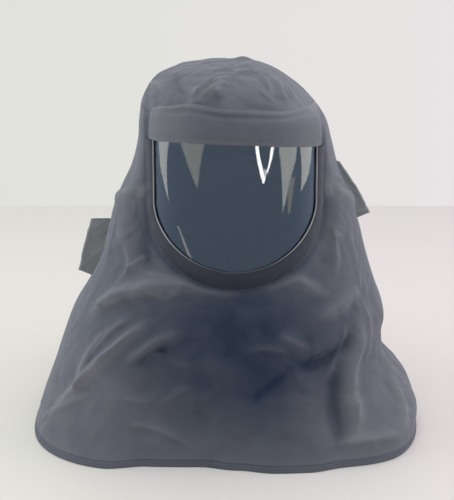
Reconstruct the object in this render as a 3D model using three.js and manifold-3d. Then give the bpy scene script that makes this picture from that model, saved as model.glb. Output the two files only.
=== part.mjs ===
// Arc flash hood: a cloth hood with a bowed clear window, a brow band, a bound window rim,
// a wide cape with a bound hem, and two folded side straps.
// Millimetres. +Z is up, the wearer faces -Y, and +X is on the right of someone who looks at the window.
// The origin is inside the crown, where the top of the wearer's head touches the cloth.

import * as THREE from "three";
import { mergeVertices } from "three/addons/utils/BufferGeometryUtils.js";
import Module from "manifold-3d";

const wasm = await Module();
wasm.setup();

// Cloth and clearances
const clothWall = 3;
const seamGap = 0.3;
const restGap = 0.6;
const trimDepth = 3;

// Window
const windowWidth = 248;
const windowHeight = 187;
const windowFootDrop = 93;
const windowBow = 65.6;
const windowLean = 8.1;
const windowSetback = 3;
const windowThickness = 2;
const windowTuck = 20;
const flangeEase = 0.25;
const pullStart = 0.12;
const pullWhole = 0.48;

// Head part
const cheekWidth = 27;
const browDrop = 101;
const headDrop = 163;
const faceReach = 139;
const napeReach = 165;
const headMiddle = 18;
const crownSeamDrop = 66;

// Cape
const capeDrop = 405;
const hemWidth = 614;
const hemFront = 229;
const hemBack = 212;
const hemMiddle = -20;
const hemWave = 14;

// Rim binding, brow band, hem binding and straps
const rimWidth = 21;
const rimSideWidth = 9;
const rimThickness = 6;
const rimLap = 4;
const rimRounding = 0.22;
const browOverhang = 1;
const browHeight = 49;
const browSag = 10;
const browRoll = 2.2;
const browThickness = 9;
const browEdgeThickness = 3;
const browMargin = 6;
const bandRounding = 0.12;
const bandEndPower = 8;
const hemBandHeight = 9;
const hemBandStand = 1;
const hemLevelled = 60;
const strapThickness = 2;
const strapLayerGap = 7;
const strapStraight = 0.4;
const strapEndLift = 9;

// Lump where the crown cloth is gathered
const puckerRadius = 17;
const puckerHeight = 7;
const puckerSide = 12;

// Worked out from the sizes above
const headWidth = windowWidth + 2 * cheekWidth;
const browWidth = windowWidth + 2 * browOverhang;
const windowHalf = windowWidth / 2;
const windowRadius = (windowHalf ** 2 + windowBow ** 2) / (2 * windowBow);
const leanSlope = Math.tan(THREE.MathUtils.degToRad(windowLean));
const rollSlope = Math.tan(THREE.MathUtils.degToRad(browRoll));
const crownTop = clothWall;
const browLine = crownTop - browDrop;
const windowFoot = browLine - windowHeight;
const windowFootStart = windowFoot + windowFootDrop;
const fullDrop = headDrop + capeDrop;
const hemHeight = crownTop - fullDrop;
const hemBandTop = hemHeight + hemBandHeight;

// Level sections of the head part, from the crown down. drop: share of headDrop. half: share of half the
// head width. shift: share of the head width. front and back: shares of faceReach and napeReach.
// middle: share of headMiddle. square: 2 is an ellipse, more is squarer.
const headSections = [
  { drop: 0.0, half: 0.0, shift: 0.0, front: 0.0, back: 0.0, middle: 0.0, square: 2.0 },
  { drop: 0.012, half: 0.24, shift: -0.02, front: 0.245, back: 0.28, middle: 0.3, square: 2.0 },
  { drop: 0.061, half: 0.46, shift: -0.046, front: 0.518, back: 0.594, middle: 0.75, square: 2.05 },
  { drop: 0.172, half: 0.68, shift: -0.061, front: 0.763, back: 0.836, middle: 1.0, square: 2.1 },
  { drop: 0.337, half: 0.848, shift: -0.043, front: 0.9, back: 0.958, middle: 1.05, square: 2.1 },
  { drop: 0.54, half: 0.954, shift: -0.013, front: 0.964, back: 1.0, middle: 1.0, square: 2.05 },
  { drop: 0.755, half: 1.0, shift: 0.0, front: 1.0, back: 1.0, middle: 0.95, square: 2.0 },
  { drop: 1.0, half: 1.073, shift: 0.0, front: 1.043, back: 0.982, middle: 0.85, square: 2.0 },
];

// Level sections of the cape. drop: share of capeDrop. spread, forward, rearward: how far each side has
// gone from the head part's last section to the hem. shift: share of the hem width.
const capeSections = [
  { drop: 0.112, spread: 0.138, shift: -0.002, forward: 0.076, rearward: -0.04, square: 2.05 },
  { drop: 0.223, spread: 0.241, shift: 0.0, forward: 0.165, rearward: 0.0, square: 2.1 },
  { drop: 0.335, spread: 0.324, shift: 0.0, forward: 0.291, rearward: 0.12, square: 2.2 },
  { drop: 0.447, spread: 0.448, shift: -0.006, forward: 0.494, rearward: 0.28, square: 2.3 },
  { drop: 0.558, spread: 0.596, shift: -0.0156, forward: 0.62, rearward: 0.44, square: 2.45 },
  { drop: 0.67, spread: 0.645, shift: -0.0334, forward: 0.696, rearward: 0.6, square: 2.6 },
  { drop: 0.782, spread: 0.758, shift: -0.0323, forward: 0.772, rearward: 0.74, square: 2.8 },
  { drop: 0.893, spread: 0.947, shift: -0.0154, forward: 0.873, rearward: 0.88, square: 3.0 },
  { drop: 1.0, spread: 1.0, shift: -0.024, forward: 1.0, rearward: 1.0, square: 3.3 },
];

// Folds and creases. Each runs through three places, given as [across, down]: across is the share of the
// half width at that level, down the share of the full drop. width and height are in millimetres,
// and a crease has a height below zero.
const frontFolds = [
  { name: "swag_left", from: [-0.86, 0.64], via: [-0.62, 0.558], to: [-0.02, 0.545], width: 13, height: 9 },
  { name: "swag_right", from: [-0.05, 0.545], via: [0.3, 0.528], to: [0.58, 0.565], width: 12, height: 7 },
  { name: "swag_outer", from: [0.86, 0.575], via: [0.7, 0.602], to: [0.52, 0.628], width: 11, height: 5 },
  { name: "swag_upper", from: [-0.66, 0.52], via: [-0.5, 0.527], to: [-0.28, 0.528], width: 8, height: 4 },
  { name: "shoulder_left", from: [-1.0, 0.39], via: [-0.96, 0.35], to: [-0.78, 0.315], width: 11, height: 5 },
  { name: "shoulder_right", from: [0.8, 0.3], via: [0.93, 0.34], to: [1.0, 0.4], width: 12, height: 6 },
  { name: "drape_outer", from: [-0.66, 0.63], via: [-0.78, 0.72], to: [-0.8, 0.84], width: 10, height: 6 },
  { name: "drape_inner", from: [-0.54, 0.63], via: [-0.7, 0.74], to: [-0.9, 0.9], width: 11, height: 7 },
  { name: "valley_left", from: [-0.69, 0.64], via: [-0.75, 0.7], to: [-0.78, 0.77], width: 8, height: -5 },
  { name: "tuck_upper", from: [-0.31, 0.65], via: [-0.46, 0.68], to: [-0.57, 0.74], width: 9, height: 4 },
  { name: "tuck_lower", from: [-0.35, 0.685], via: [-0.43, 0.705], to: [-0.52, 0.74], width: 8, height: -3 },
  { name: "valley_right", from: [0.73, 0.67], via: [0.63, 0.72], to: [0.42, 0.735], width: 11, height: -6 },
  { name: "tuck_right", from: [0.29, 0.65], via: [0.36, 0.668], to: [0.46, 0.69], width: 8, height: 4 },
  { name: "drape_right", from: [0.8, 0.65], via: [0.74, 0.78], to: [0.66, 0.9], width: 13, height: 7 },
  { name: "crease_right", from: [0.68, 0.76], via: [0.6, 0.85], to: [0.52, 0.95], width: 10, height: -6 },
  { name: "hem_fold_right", from: [0.52, 0.94], via: [0.68, 0.935], to: [0.84, 0.945], width: 9, height: 4 },
  { name: "corner_right", from: [0.97, 0.79], via: [0.95, 0.86], to: [0.84, 0.94], width: 12, height: 7 },
  { name: "crown_ridge", from: [-0.45, 0.085], via: [-0.3, 0.05], to: [-0.02, 0.024], width: 7, height: 6 },
  { name: "low_ridge", from: [-0.32, 0.08], via: [-0.16, 0.06], to: [-0.02, 0.045], width: 6, height: 4 },
  { name: "top_ridge", from: [-0.4, 0.013], via: [0.1, 0.007], to: [0.95, 0.004], width: 7, height: 2 },
  { name: "crown_crease", from: [-0.42, 0.083], via: [-0.22, 0.076], to: [0.0, 0.07], width: 6, height: -4 },
  { name: "brow_crease", from: [0.2, 0.078], via: [0.38, 0.086], to: [0.6, 0.1], width: 6, height: -4 },
  { name: "crown_gather", from: [0.82, 0.035], via: [0.77, 0.057], to: [0.71, 0.08], width: 6, height: 3 },
];
const backFolds = [
  { name: "nape_fold", from: [-0.55, 0.33], via: [0.0, 0.37], to: [0.6, 0.32], width: 16, height: 5 },
  { name: "far_left", from: [-0.76, 0.45], via: [-0.72, 0.7], to: [-0.62, 0.97], width: 24, height: 8 },
  { name: "near_left", from: [-0.28, 0.42], via: [-0.26, 0.65], to: [-0.33, 0.95], width: 22, height: 7 },
  { name: "near_right", from: [0.16, 0.45], via: [0.22, 0.68], to: [0.12, 0.95], width: 22, height: 6 },
  { name: "far_right", from: [0.7, 0.42], via: [0.68, 0.7], to: [0.78, 0.96], width: 24, height: 8 },
];
const foldSteps = 8;
const foldStub = 0.12;
const foldEase = 0.25;

// Wave of the hem round the front, as shares of hemWave. across runs from the left side to the right side.
const frontHemWaves = [
  { across: -1.0, out: 0.0 },
  { across: -0.6, out: 0.6 },
  { across: -0.38, out: -0.5 },
  { across: -0.12, out: -0.55 },
  { across: 0.05, out: 0.15 },
  { across: 0.24, out: 0.85 },
  { across: 0.4, out: 0.85 },
  { across: 0.57, out: 0.3 },
  { across: 0.8, out: 0.6 },
  { across: 1.0, out: 0.0 },
];
const backHemWaves = [
  { across: -1.0, out: 0.0 },
  { across: -0.72, out: -0.3 },
  { across: -0.4, out: -0.6 },
  { across: 0.0, out: 0.5 },
  { across: 0.4, out: -0.6 },
  { across: 0.72, out: -0.3 },
  { across: 1.0, out: 0.0 },
];
const waveStart = 0.62;
const seamCalm = 0.3;

// Height of the brow band above its lower edge, as shares of browHeight, from its left end to its right end.
const browOutline = [
  { across: -1.0, rise: 0.9 },
  { across: -0.94, rise: 0.98 },
  { across: -0.82, rise: 1.03 },
  { across: -0.52, rise: 1.13 },
  { across: -0.1, rise: 1.0 },
  { across: 0.5, rise: 0.97 },
  { across: 0.94, rise: 1.1 },
  { across: 1.0, rise: 1.12 },
];

// Folded straps that stand out behind the side seams. side: -1 left, 1 right. top and bottom: shares of the
// full drop. topReach and bottomReach: millimetres out from the cloth. bow: millimetres more halfway down.
// turn: degrees behind the side seam.
const straps = [
  {
    name: "side_strap_left", side: -1, top: 0.466, bottom: 0.632,
    topReach: 37, bottomReach: 24, bow: 7, turn: 14,
  },
  {
    name: "side_strap_right", side: 1, top: 0.292, bottom: 0.455,
    topReach: 9, bottomReach: 24, bow: 2, turn: 10,
  },
];

// Mesh steps
const frontColumns = 36;
const backColumns = 22;
const crownRows = 7;
const frontRows = 22;
const rimSteps = 44;
const browColumns = 24;
const windowColumns = 18;
const windowRows = 6;
const outlineSteps = 20;
const normalStep = 0.01;
const columnCrowding = 0.35;

const clothColour = 0x4a4f5c;
const backClothColour = 0x565a64;
const bandColour = 0x5a5e63;
const rimColour = 0x343a48;
const strapColour = 0x696d66;
const windowColour = 0x9fb3b4;

function mix(from, to, share) {
  return from + (to - from) * share;
}

function smoothStep(start, end, value) {
  const share = THREE.MathUtils.clamp((value - start) / (end - start), 0, 1);
  return share * share * (3 - 2 * share);
}

// Reads a table of rows by linear share, with eased steps between the rows.
function readTable(rows, key, value, across) {
  const last = rows.length - 1;
  if (across <= rows[0][key]) return rows[0][value];
  if (across >= rows[last][key]) return rows[last][value];
  const next = rows.findIndex((row) => row[key] > across);
  const before = rows[next - 1];
  const share = (across - before[key]) / (rows[next][key] - before[key]);
  return mix(before[value], rows[next][value], smoothStep(0, 1, share));
}

// All sections in millimetres. front and back are reaches from the section's own middle.
function sectionRows() {
  const head = headSections.map((row) => ({
    height: crownTop - row.drop * headDrop,
    half: (row.half * headWidth) / 2,
    shift: row.shift * headWidth,
    middle: row.middle * headMiddle,
    front: row.front * faceReach + row.middle * headMiddle,
    back: row.back * napeReach - row.middle * headMiddle,
    square: row.square,
  }));
  const neck = head[head.length - 1];
  const cape = capeSections.map((row) => {
    const middle = mix(neck.middle, hemMiddle, row.drop);
    return {
      height: crownTop - headDrop - row.drop * capeDrop,
      half: mix(neck.half, hemWidth / 2, row.spread),
      shift: row.shift * hemWidth,
      middle,
      front: middle + mix(neck.front - neck.middle, hemFront, row.forward),
      back: mix(neck.back + neck.middle, hemBack, row.rearward) - middle,
      square: row.square,
    };
  });
  return [...head, ...cape];
}

// The section before the crown mirrors the one after it, so that the cloth runs smoothly over the top.
function withEnds(rows) {
  const mirrored = { ...rows[1], half: -rows[1].half, front: -rows[1].front, back: -rows[1].back };
  const last = rows.length - 1;
  const beyond = {};
  for (const key of Object.keys(rows[last])) beyond[key] = 2 * rows[last][key] - rows[last - 1][key];
  return [mirrored, ...rows, beyond];
}

const sections = withEnds(sectionRows());
const lastLevel = sections.length - 3;

// One smooth curve through the sections for each of their columns. Level 0 is the crown.
function sectionAt(level) {
  const held = THREE.MathUtils.clamp(level, 0, lastLevel);
  const start = Math.min(Math.floor(held), lastLevel - 1);
  const share = held - start;
  const [a, b, c, d] = sections.slice(start, start + 4);
  const result = {};
  for (const key of Object.keys(b)) {
    const linear = (c[key] - a[key]) * share;
    const square = (2 * a[key] - 5 * b[key] + 4 * c[key] - d[key]) * share ** 2;
    const cube = (3 * b[key] - a[key] - 3 * c[key] + d[key]) * share ** 3;
    result[key] = b[key] + (linear + square + cube) / 2;
  }
  return result;
}

// Halving search for the place where a falling or rising reading meets a target.
function search(low, high, reading, target) {
  const rising = reading(high) > reading(low);
  for (let step = 0; step < 40; step += 1) {
    const middle = (low + high) / 2;
    if (reading(middle) < target === rising) low = middle;
    else high = middle;
  }
  return (low + high) / 2;
}

function levelAtHeight(height) {
  return search(0, lastLevel, (level) => sectionAt(level).height, height);
}

// Shares of the half width and of the reach at a turn of the superellipse: 0 is the front, 90 the right side.
function sectionShares(turn, square) {
  const sine = Math.sin(turn);
  const cosine = Math.cos(turn);
  const scale = (Math.abs(sine) ** square + Math.abs(cosine) ** square) ** (-1 / square);
  return { side: scale * sine, ahead: scale * cosine };
}

// Millimetres outside the window's edge, seen from the front. Below zero is on the window.
function windowDistance(x, z) {
  const aside = Math.abs(x);
  const below = Math.max(0, windowFootStart - z);
  if (below === 0) return aside - windowHalf;
  const share = Math.hypot(aside / windowHalf, below / windowFootDrop);
  return (share - 1) * Math.min(windowHalf, windowFootDrop);
}

// The window's outer face is a leaning round bow, which eases into a flange past the window's edge.
function windowFace(x, z) {
  const ease = cheekWidth * flangeEase;
  const past = Math.max(0, Math.abs(x) - windowHalf);
  const aside = Math.min(Math.abs(x), windowHalf) + ease * (1 - Math.exp(-past / ease));
  const held = Math.min(aside, windowRadius);
  const sweep = windowRadius - Math.sqrt(windowRadius ** 2 - held ** 2);
  return windowSetback - faceReach + leanSlope * (z - browLine) + sweep;
}

// How far the cloth follows the window's bow: wholly at its edge and not at all well outside it, above the
// brow or at the side seam, where ahead is 0.
function windowPull(x, z, ahead) {
  const outside = windowDistance(x, z);
  const around = 1 - smoothStep(0, 3 * rimWidth, outside);
  const aside = smoothStep(pullStart, pullWhole, ahead);
  const above = smoothStep(browLine + browHeight, browLine + windowTuck, z);
  return around * aside * above;
}

// The smooth form without folds.
function formPoint(turn, level) {
  const section = sectionAt(level);
  const { side, ahead } = sectionShares(turn, section.square);
  const x = section.shift + section.half * side;
  const z = section.height;
  if (ahead <= 0) return new THREE.Vector3(x, section.middle - section.back * ahead, z);
  const free = section.middle - section.front * ahead;
  const pull = windowPull(x, z, ahead);
  return new THREE.Vector3(x, pull > 0 ? mix(free, windowFace(x, z), pull) : free, z);
}

// The normal of any surface of turn and level, pointing out of the hood.
function normalOf(surface, turn, level) {
  if (level < normalStep) return new THREE.Vector3(0, 0, 1);
  const down = surface(turn, level + normalStep).sub(surface(turn, level - normalStep));
  const round = surface(turn + normalStep, level).sub(surface(turn - normalStep, level));
  return down.cross(round).normalize();
}

// The turn of the front surface at a place seen from the front.
function turnAt(x, level) {
  const { shift, half, square } = sectionAt(level);
  const side = THREE.MathUtils.clamp((x - shift) / half, -1, 1);
  return Math.atan2(side, (1 - Math.abs(side) ** square) ** (1 / square));
}

// A place on the front or the back, given as shares of the half width and of the full drop.
function placeAt(across, down, isBack) {
  const level = levelAtHeight(crownTop - down * fullDrop);
  const section = sectionAt(level);
  const turn = turnAt(section.shift + section.half * across, level);
  return formPoint(isBack ? Math.PI - turn : turn, level);
}

// Each fold as a chain of places on the form.
function foldChain(fold, isBack) {
  const start = new THREE.Vector2(...fold.from);
  const end = new THREE.Vector2(...fold.to);
  const middle = start.clone().add(end).multiplyScalar(0.5);
  const bend = new THREE.Vector2(...fold.via).multiplyScalar(2).sub(middle);
  const curve = new THREE.QuadraticBezierCurve(start, bend, end);
  return curve.getPoints(foldSteps).map((place) => placeAt(place.x, place.y, isBack));
}

const foldChains = [
  ...frontFolds.map((fold) => ({ ...fold, chain: foldChain(fold, false) })),
  ...backFolds.map((fold) => ({ ...fold, chain: foldChain(fold, true) })),
];

// The distance from a place to a chain, and how far along the chain the nearest place is.
function nearestOnChain(place, chain) {
  const nearest = { distance: Infinity, along: 0 };
  const spot = new THREE.Vector3();
  const segment = new THREE.Line3();
  for (let step = 0; step < chain.length - 1; step += 1) {
    segment.set(chain[step], chain[step + 1]);
    const share = segment.closestPointToPointParameter(place, true);
    const distance = segment.at(share, spot).distanceTo(place);
    if (distance < nearest.distance) {
      nearest.distance = distance;
      nearest.along = (step + share) / (chain.length - 1);
    }
  }
  return nearest;
}

// A fold is a round-topped ridge that dies away at both ends.
function foldLift(place) {
  let lift = 0;
  for (const fold of foldChains) {
    const { distance, along } = nearestOnChain(place, fold.chain);
    if (distance > 3 * fold.width) continue;
    const fade = smoothStep(-foldStub, foldEase, along) * (1 - smoothStep(1 - foldEase, 1 + foldStub, along));
    lift += fold.height * fade * Math.exp(-((distance / fold.width) ** 2));
  }
  return lift;
}

function waveLift(turn, level) {
  const down = (crownTop - sectionAt(level).height) / fullDrop;
  if (down < waveStart) return 0;
  const waves = Math.cos(turn) > 0 ? frontHemWaves : backHemWaves;
  const { side } = sectionShares(turn, sectionAt(level).square);
  return hemWave * readTable(waves, "across", "out", side) * smoothStep(waveStart, 1, down);
}

function puckerLift(place) {
  const aside = place.distanceTo(new THREE.Vector3(puckerSide, 0, crownTop));
  return puckerHeight * Math.exp(-((aside / puckerRadius) ** 2));
}

// Height of the brow band's lower edge, and of its upper edge above it.
function browEdge(x) {
  return browLine - rollSlope * x - browSag * (x / windowHalf) ** 2;
}

function browRise(x) {
  return browHeight * readTable(browOutline, "across", "rise", (2 * x) / browWidth);
}

// The outer face of the cloth. Nothing lifts it under the rim binding and the brow band, nor at the side
// seams, where the front and back panels meet.
function clothPoint(turn, level) {
  const place = formPoint(turn, level);
  const beside = smoothStep(1.4 * rimWidth, 2.2 * rimWidth, windowDistance(place.x, place.z));
  const browTop = browEdge(place.x) + browRise(place.x);
  const overBrow = smoothStep(browTop + browMargin, browTop + 3 * browMargin, place.z);
  const free = Math.cos(turn) > 0 ? Math.max(beside, overBrow) : 1;
  const offSeam = smoothStep(0, seamCalm, Math.abs(Math.cos(turn)));
  const lift = puckerLift(place) + free * offSeam * (foldLift(place) + waveLift(turn, level));
  return place.addScaledVector(outwardAt(formPoint, turn, level), lift);
}

// The outward direction, which lies level near the hem, so that the hem stays in one plane.
function outwardAt(surface, turn, level) {
  const normal = normalOf(surface, turn, level);
  normal.z *= smoothStep(hemBandTop, hemBandTop + hemLevelled, sectionAt(level).height);
  return normal.normalize();
}

function offCloth(turn, level, stand) {
  return clothPoint(turn, level).addScaledVector(outwardAt(clothPoint, turn, level), stand);
}

// A place over the front, seen from the front at x and z, standing off the cloth.
function offFront(x, z, stand) {
  const level = levelAtHeight(z);
  return offCloth(turnAt(x, level), level, stand);
}

// A closed body between an outer and an inner sheet. place(u, v, inner) gives the corners, with u running
// to the right and v running down as seen from outside.
function closedSheet(columns, rows, place) {
  const positions = [];
  const corners = (columns + 1) * (rows + 1);
  for (const inner of [false, true]) {
    for (let row = 0; row <= rows; row += 1) {
      for (let column = 0; column <= columns; column += 1) {
        positions.push(...place(column / columns, row / rows, inner).toArray());
      }
    }
  }
  const corner = (column, row) => row * (columns + 1) + column;
  const faces = [];
  for (let row = 0; row < rows; row += 1) {
    for (let column = 0; column < columns; column += 1) {
      faces.push([corner(column, row), corner(column, row + 1), corner(column + 1, row)]);
      faces.push([corner(column + 1, row), corner(column, row + 1), corner(column + 1, row + 1)]);
    }
  }
  const innerFaces = faces.map(([a, b, c]) => [a + corners, c + corners, b + corners]);
  const edge = [];
  for (let column = 0; column < columns; column += 1) {
    edge.push([corner(column + 1, 0), corner(column, 0)]);
    edge.push([corner(column, rows), corner(column + 1, rows)]);
  }
  for (let row = 0; row < rows; row += 1) {
    edge.push([corner(0, row), corner(0, row + 1)]);
    edge.push([corner(columns, row + 1), corner(columns, row)]);
  }
  const edgeFaces = edge.flatMap(([a, b]) => [
    [b, a, a + corners],
    [b, a + corners, b + corners],
  ]);
  return fusedGeometry(positions, [...faces, ...innerFaces, ...edgeFaces]);
}

// Joins corners that lie together and leaves out the faces that this closes up.
function fusedGeometry(positions, faces) {
  const loose = new THREE.BufferGeometry();
  loose.setAttribute("position", new THREE.Float32BufferAttribute(positions, 3));
  loose.setIndex(faces.flat());
  const fused = mergeVertices(loose, 1e-3);
  const index = fused.index.array;
  const kept = [];
  for (let first = 0; first < index.length; first += 3) {
    const [a, b, c] = index.slice(first, first + 3);
    if (a !== b && b !== c && c !== a) kept.push(a, b, c);
  }
  fused.setIndex(kept);
  return fused;
}

function toSolid(geometry) {
  const bare = geometry.clone();
  bare.deleteAttribute("normal");
  bare.deleteAttribute("uv");
  const fused = mergeVertices(bare, 1e-3);
  return new wasm.Manifold(
    new wasm.Mesh({
      numProp: 3,
      vertProperties: new Float32Array(fused.attributes.position.array),
      triVerts: new Uint32Array(fused.index.array),
    }),
  );
}

function toGeometry(solid) {
  const mesh = solid.getMesh();
  const geometry = new THREE.BufferGeometry();
  geometry.setAttribute("position", new THREE.BufferAttribute(mesh.vertProperties, 3));
  geometry.setIndex(new THREE.BufferAttribute(mesh.triVerts, 1));
  return geometry;
}

// The window's U outline from its top left to its top right, moved out by grow, without the top edge.
function windowOutline(grow) {
  const outline = [];
  for (let step = 0; step <= outlineSteps; step += 1) {
    const turn = (Math.PI * step) / outlineSteps;
    const across = -Math.cos(turn);
    const down = Math.sin(turn);
    const normal = new THREE.Vector2(across / windowHalf, down / windowFootDrop).normalize();
    const x = across * windowHalf + normal.x * grow;
    const z = windowFootStart - down * windowFootDrop - normal.y * grow;
    outline.push(new THREE.Vector2(x, z));
  }
  return outline;
}

// A straight block of the window's outline that runs front to back through the cloth.
function windowBlock(grow) {
  const top = browLine + windowTuck + grow;
  const foot = windowOutline(grow);
  const left = new THREE.Vector2(foot[0].x, top);
  const right = new THREE.Vector2(foot[outlineSteps].x, top);
  const depth = faceReach + hemFront;
  const outline = new THREE.Shape([left, ...foot, right]);
  const block = new THREE.ExtrudeGeometry(outline, { depth, bevelEnabled: false });
  block.rotateX(Math.PI / 2);
  return toSolid(block);
}

// A cloth panel of the hood. back moves it backwards, and the stands place its two faces.
function clothSheet(columns, rows, turns, levels, { back = 0, outer = 0, inner = -clothWall } = {}) {
  return closedSheet(columns, rows, (u, v, isInner) => {
    const place = offCloth(turns(u), levels(v), isInner ? inner : outer);
    place.y += back;
    return place;
  });
}

const crownSeamLevel = levelAtHeight(crownTop - crownSeamDrop);
const frontTopLevel = levelAtHeight(crownTop - crownSeamDrop - seamGap);
const crownLapLevel = levelAtHeight(crownTop - crownSeamDrop - 2 * seamGap);
const panelFootLevel = levelAtHeight(hemBandTop + seamGap);
const hemBandTopLevel = levelAtHeight(hemBandTop);

// The front's columns crowd together at the window's sides, where the cloth bends most.
function frontTurn(share) {
  const even = Math.PI * (share - 0.5);
  return even + (columnCrowding * Math.sin(4 * even)) / 4;
}

const backTurn = (share) => Math.PI * (share + 0.5);

const frontLevel = (share) => mix(frontTopLevel, panelFootLevel, share);

function crownPanel() {
  return clothSheet(frontColumns, crownRows, frontTurn, (share) => crownSeamLevel * share);
}

function frontPanel() {
  const whole = toSolid(clothSheet(frontColumns, frontRows, frontTurn, frontLevel));
  return toGeometry(whole.subtract(windowBlock(0)));
}

// A bowed plate a little larger than the window, between two stands from the cloth's face.
function windowPlate(outer, inner) {
  const reach = windowHalf + 1;
  const top = browLine + windowTuck + 1;
  const bottom = windowFoot - 1;
  const plate = closedSheet(windowColumns, windowRows, (u, v, isInner) => {
    return offFront(mix(-reach, reach, u), mix(top, bottom, v), isInner ? inner : outer);
  });
  return toSolid(plate);
}

// What lies on the cloth and the window is trimmed by both, with a gap.
function trimmedByCloth(geometry) {
  const stands = { outer: seamGap, inner: -3 * clothWall };
  const crown = clothSheet(frontColumns, crownRows, frontTurn, (share) => crownLapLevel * share, stands);
  const front = clothSheet(frontColumns, frontRows, frontTurn, frontLevel, stands);
  const window = windowPlate(0, -2 * trimDepth).intersect(windowBlock(0));
  return toGeometry(toSolid(geometry).subtract(toSolid(crown)).subtract(toSolid(front)).subtract(window));
}

// The back panel has the same rows as the crown and the front, so that the side seams match.
function backPanel() {
  const rows = crownRows + frontRows;
  const levels = (share) => {
    const row = share * rows;
    if (row <= crownRows) return (crownSeamLevel * row) / crownRows;
    return mix(crownSeamLevel, panelFootLevel, (row - crownRows) / frontRows);
  };
  return clothSheet(backColumns, rows, backTurn, levels, { back: seamGap });
}

function hemBinding(columns, turns, back) {
  return closedSheet(columns, 1, (u, v, inner) => {
    const level = mix(hemBandTopLevel, lastLevel, v);
    const place = offCloth(turns(u), level, inner ? -clothWall - hemBandStand : hemBandStand);
    place.y += back;
    return place;
  });
}

// The clear window fills the hole in the front and runs up behind the brow band.
function faceWindow() {
  return toGeometry(windowPlate(-seamGap, -seamGap - windowThickness).intersect(windowBlock(-seamGap)));
}

// The rim binding laps over the window's edge and lies on the cloth round it. Its ends stop at the brow band.
function rimBinding() {
  const foot = windowOutline(0);
  const path = [new THREE.Vector2(-windowHalf, browLine), ...foot, new THREE.Vector2(windowHalf, browLine)];
  const lengths = [0];
  for (let step = 1; step < path.length; step += 1) {
    lengths.push(lengths[step - 1] + path[step].distanceTo(path[step - 1]));
  }
  const full = lengths[lengths.length - 1];
  const along = (share) => {
    const next = Math.max(1, lengths.findIndex((length) => length >= share * full - 1e-6));
    const part = (share * full - lengths[next - 1]) / (lengths[next] - lengths[next - 1]);
    return path[next - 1].clone().lerp(path[next], part);
  };
  const band = closedSheet(rimSteps, 3, (u, v, inner) => {
    const spot = along(u);
    const onFoot = spot.y < windowFootStart;
    const down = onFoot ? (windowFootStart - spot.y) / windowFootDrop : 0;
    const normal = new THREE.Vector2((spot.x / windowHalf) / windowHalf, -down / windowFootDrop).normalize();
    const width = mix(rimSideWidth, rimWidth, smoothStep(0, 1, down));
    const out = mix(-rimLap, width, v);
    const ceiling = browEdge(spot.x) - restGap;
    const x = spot.x + normal.x * out;
    const z = Math.min(spot.y + normal.y * out, ceiling);
    const crest = Math.sin(Math.PI * mix(rimRounding, 1 - rimRounding, v));
    return offFront(x, z, inner ? -trimDepth : rimThickness * crest);
  });
  return trimmedByCloth(band);
}

// The brow band stands proud over the window's top and the crown's front edge.
function browBand() {
  const half = browWidth / 2;
  const band = closedSheet(browColumns, 4, (u, v, inner) => {
    const across = mix(-1, 1, u);
    const x = across * half;
    const z = browEdge(x) + browRise(x) * (1 - v);
    const crest = Math.sqrt(Math.sin(Math.PI * mix(bandRounding, 1 - bandRounding, v)));
    const thickness = mix(browEdgeThickness, browThickness, crest * (1 - Math.abs(across) ** bandEndPower));
    return offFront(x, z, inner ? -trimDepth : thickness);
  });
  return trimmedByCloth(band);
}

// A strap is folded double: it leaves the cloth, turns back at its outer edge and meets the cloth again. The
// outer end of its lower edge is lifted.
function sideStrap({ side, top, bottom, topReach, bottomReach, turn, bow }) {
  const rootTurn = side * (Math.PI / 2 + THREE.MathUtils.degToRad(turn));
  const bend = strapLayerGap / 2;
  const place = (u, v, inner) => {
    const level = levelAtHeight(crownTop - mix(top, bottom, v) * fullDrop);
    const root = offCloth(rootTurn, level, restGap);
    const stand = inner ? bend - strapThickness : bend;
    const straight = mix(topReach, bottomReach, v) + bow * Math.sin(Math.PI * v) - bend;
    const share = Math.min(1, u / strapStraight, (1 - u) / strapStraight);
    const out = straight * share;
    const round = THREE.MathUtils.clamp((u - strapStraight) / (1 - 2 * strapStraight), 0, 1) - 0.5;
    const x = root.x + side * (out + stand * Math.cos(Math.PI * round));
    const z = root.z + strapEndLift * v * share;
    return new THREE.Vector3(x, root.y + bend + stand * Math.sin(Math.PI * round), z);
  };
  return closedSheet(10, 6, (u, v, inner) => place(side > 0 ? u : 1 - u, v, inner));
}

function material(color, roughness, options = {}) {
  return new THREE.MeshStandardMaterial({ color, roughness, metalness: 0, ...options });
}

function piece(name, geometry, look) {
  const mesh = new THREE.Mesh(geometry, look);
  mesh.name = name;
  return mesh;
}

const cloth = () => material(clothColour, 0.95);
const backCloth = () => material(backClothColour, 0.95);
const hood = new THREE.Group();
hood.name = "arc_flash_hood";
hood.add(piece("crown_panel", crownPanel(), cloth()));
hood.add(piece("front_panel", frontPanel(), cloth()));
hood.add(piece("back_panel", backPanel(), backCloth()));
hood.add(piece("hem_binding_front", hemBinding(frontColumns, frontTurn, 0), cloth()));
hood.add(piece("hem_binding_back", hemBinding(backColumns, backTurn, seamGap), backCloth()));
const clear = material(windowColour, 0.08, { transparent: true, opacity: 0.35 });
hood.add(piece("face_window", faceWindow(), clear));
hood.add(piece("window_binding", rimBinding(), material(rimColour, 0.8)));
hood.add(piece("brow_band", browBand(), material(bandColour, 0.9)));
for (const strap of straps) hood.add(piece(strap.name, sideStrap(strap), material(strapColour, 0.9)));

export default hood;
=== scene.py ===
# %% [markdown]
# # Arc flash hood
# A worn hood of heavy flame-resistant cloth: a domed cap, a bowed clear window under a padded brow band,
# a rolled binding round the window, and a wide cape that lies over the shoulders and chest. The cloth is
# soft, so its form is worked out as one smooth surface, and folds are laid on it afterwards.

# %% Load the frame
import math

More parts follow.
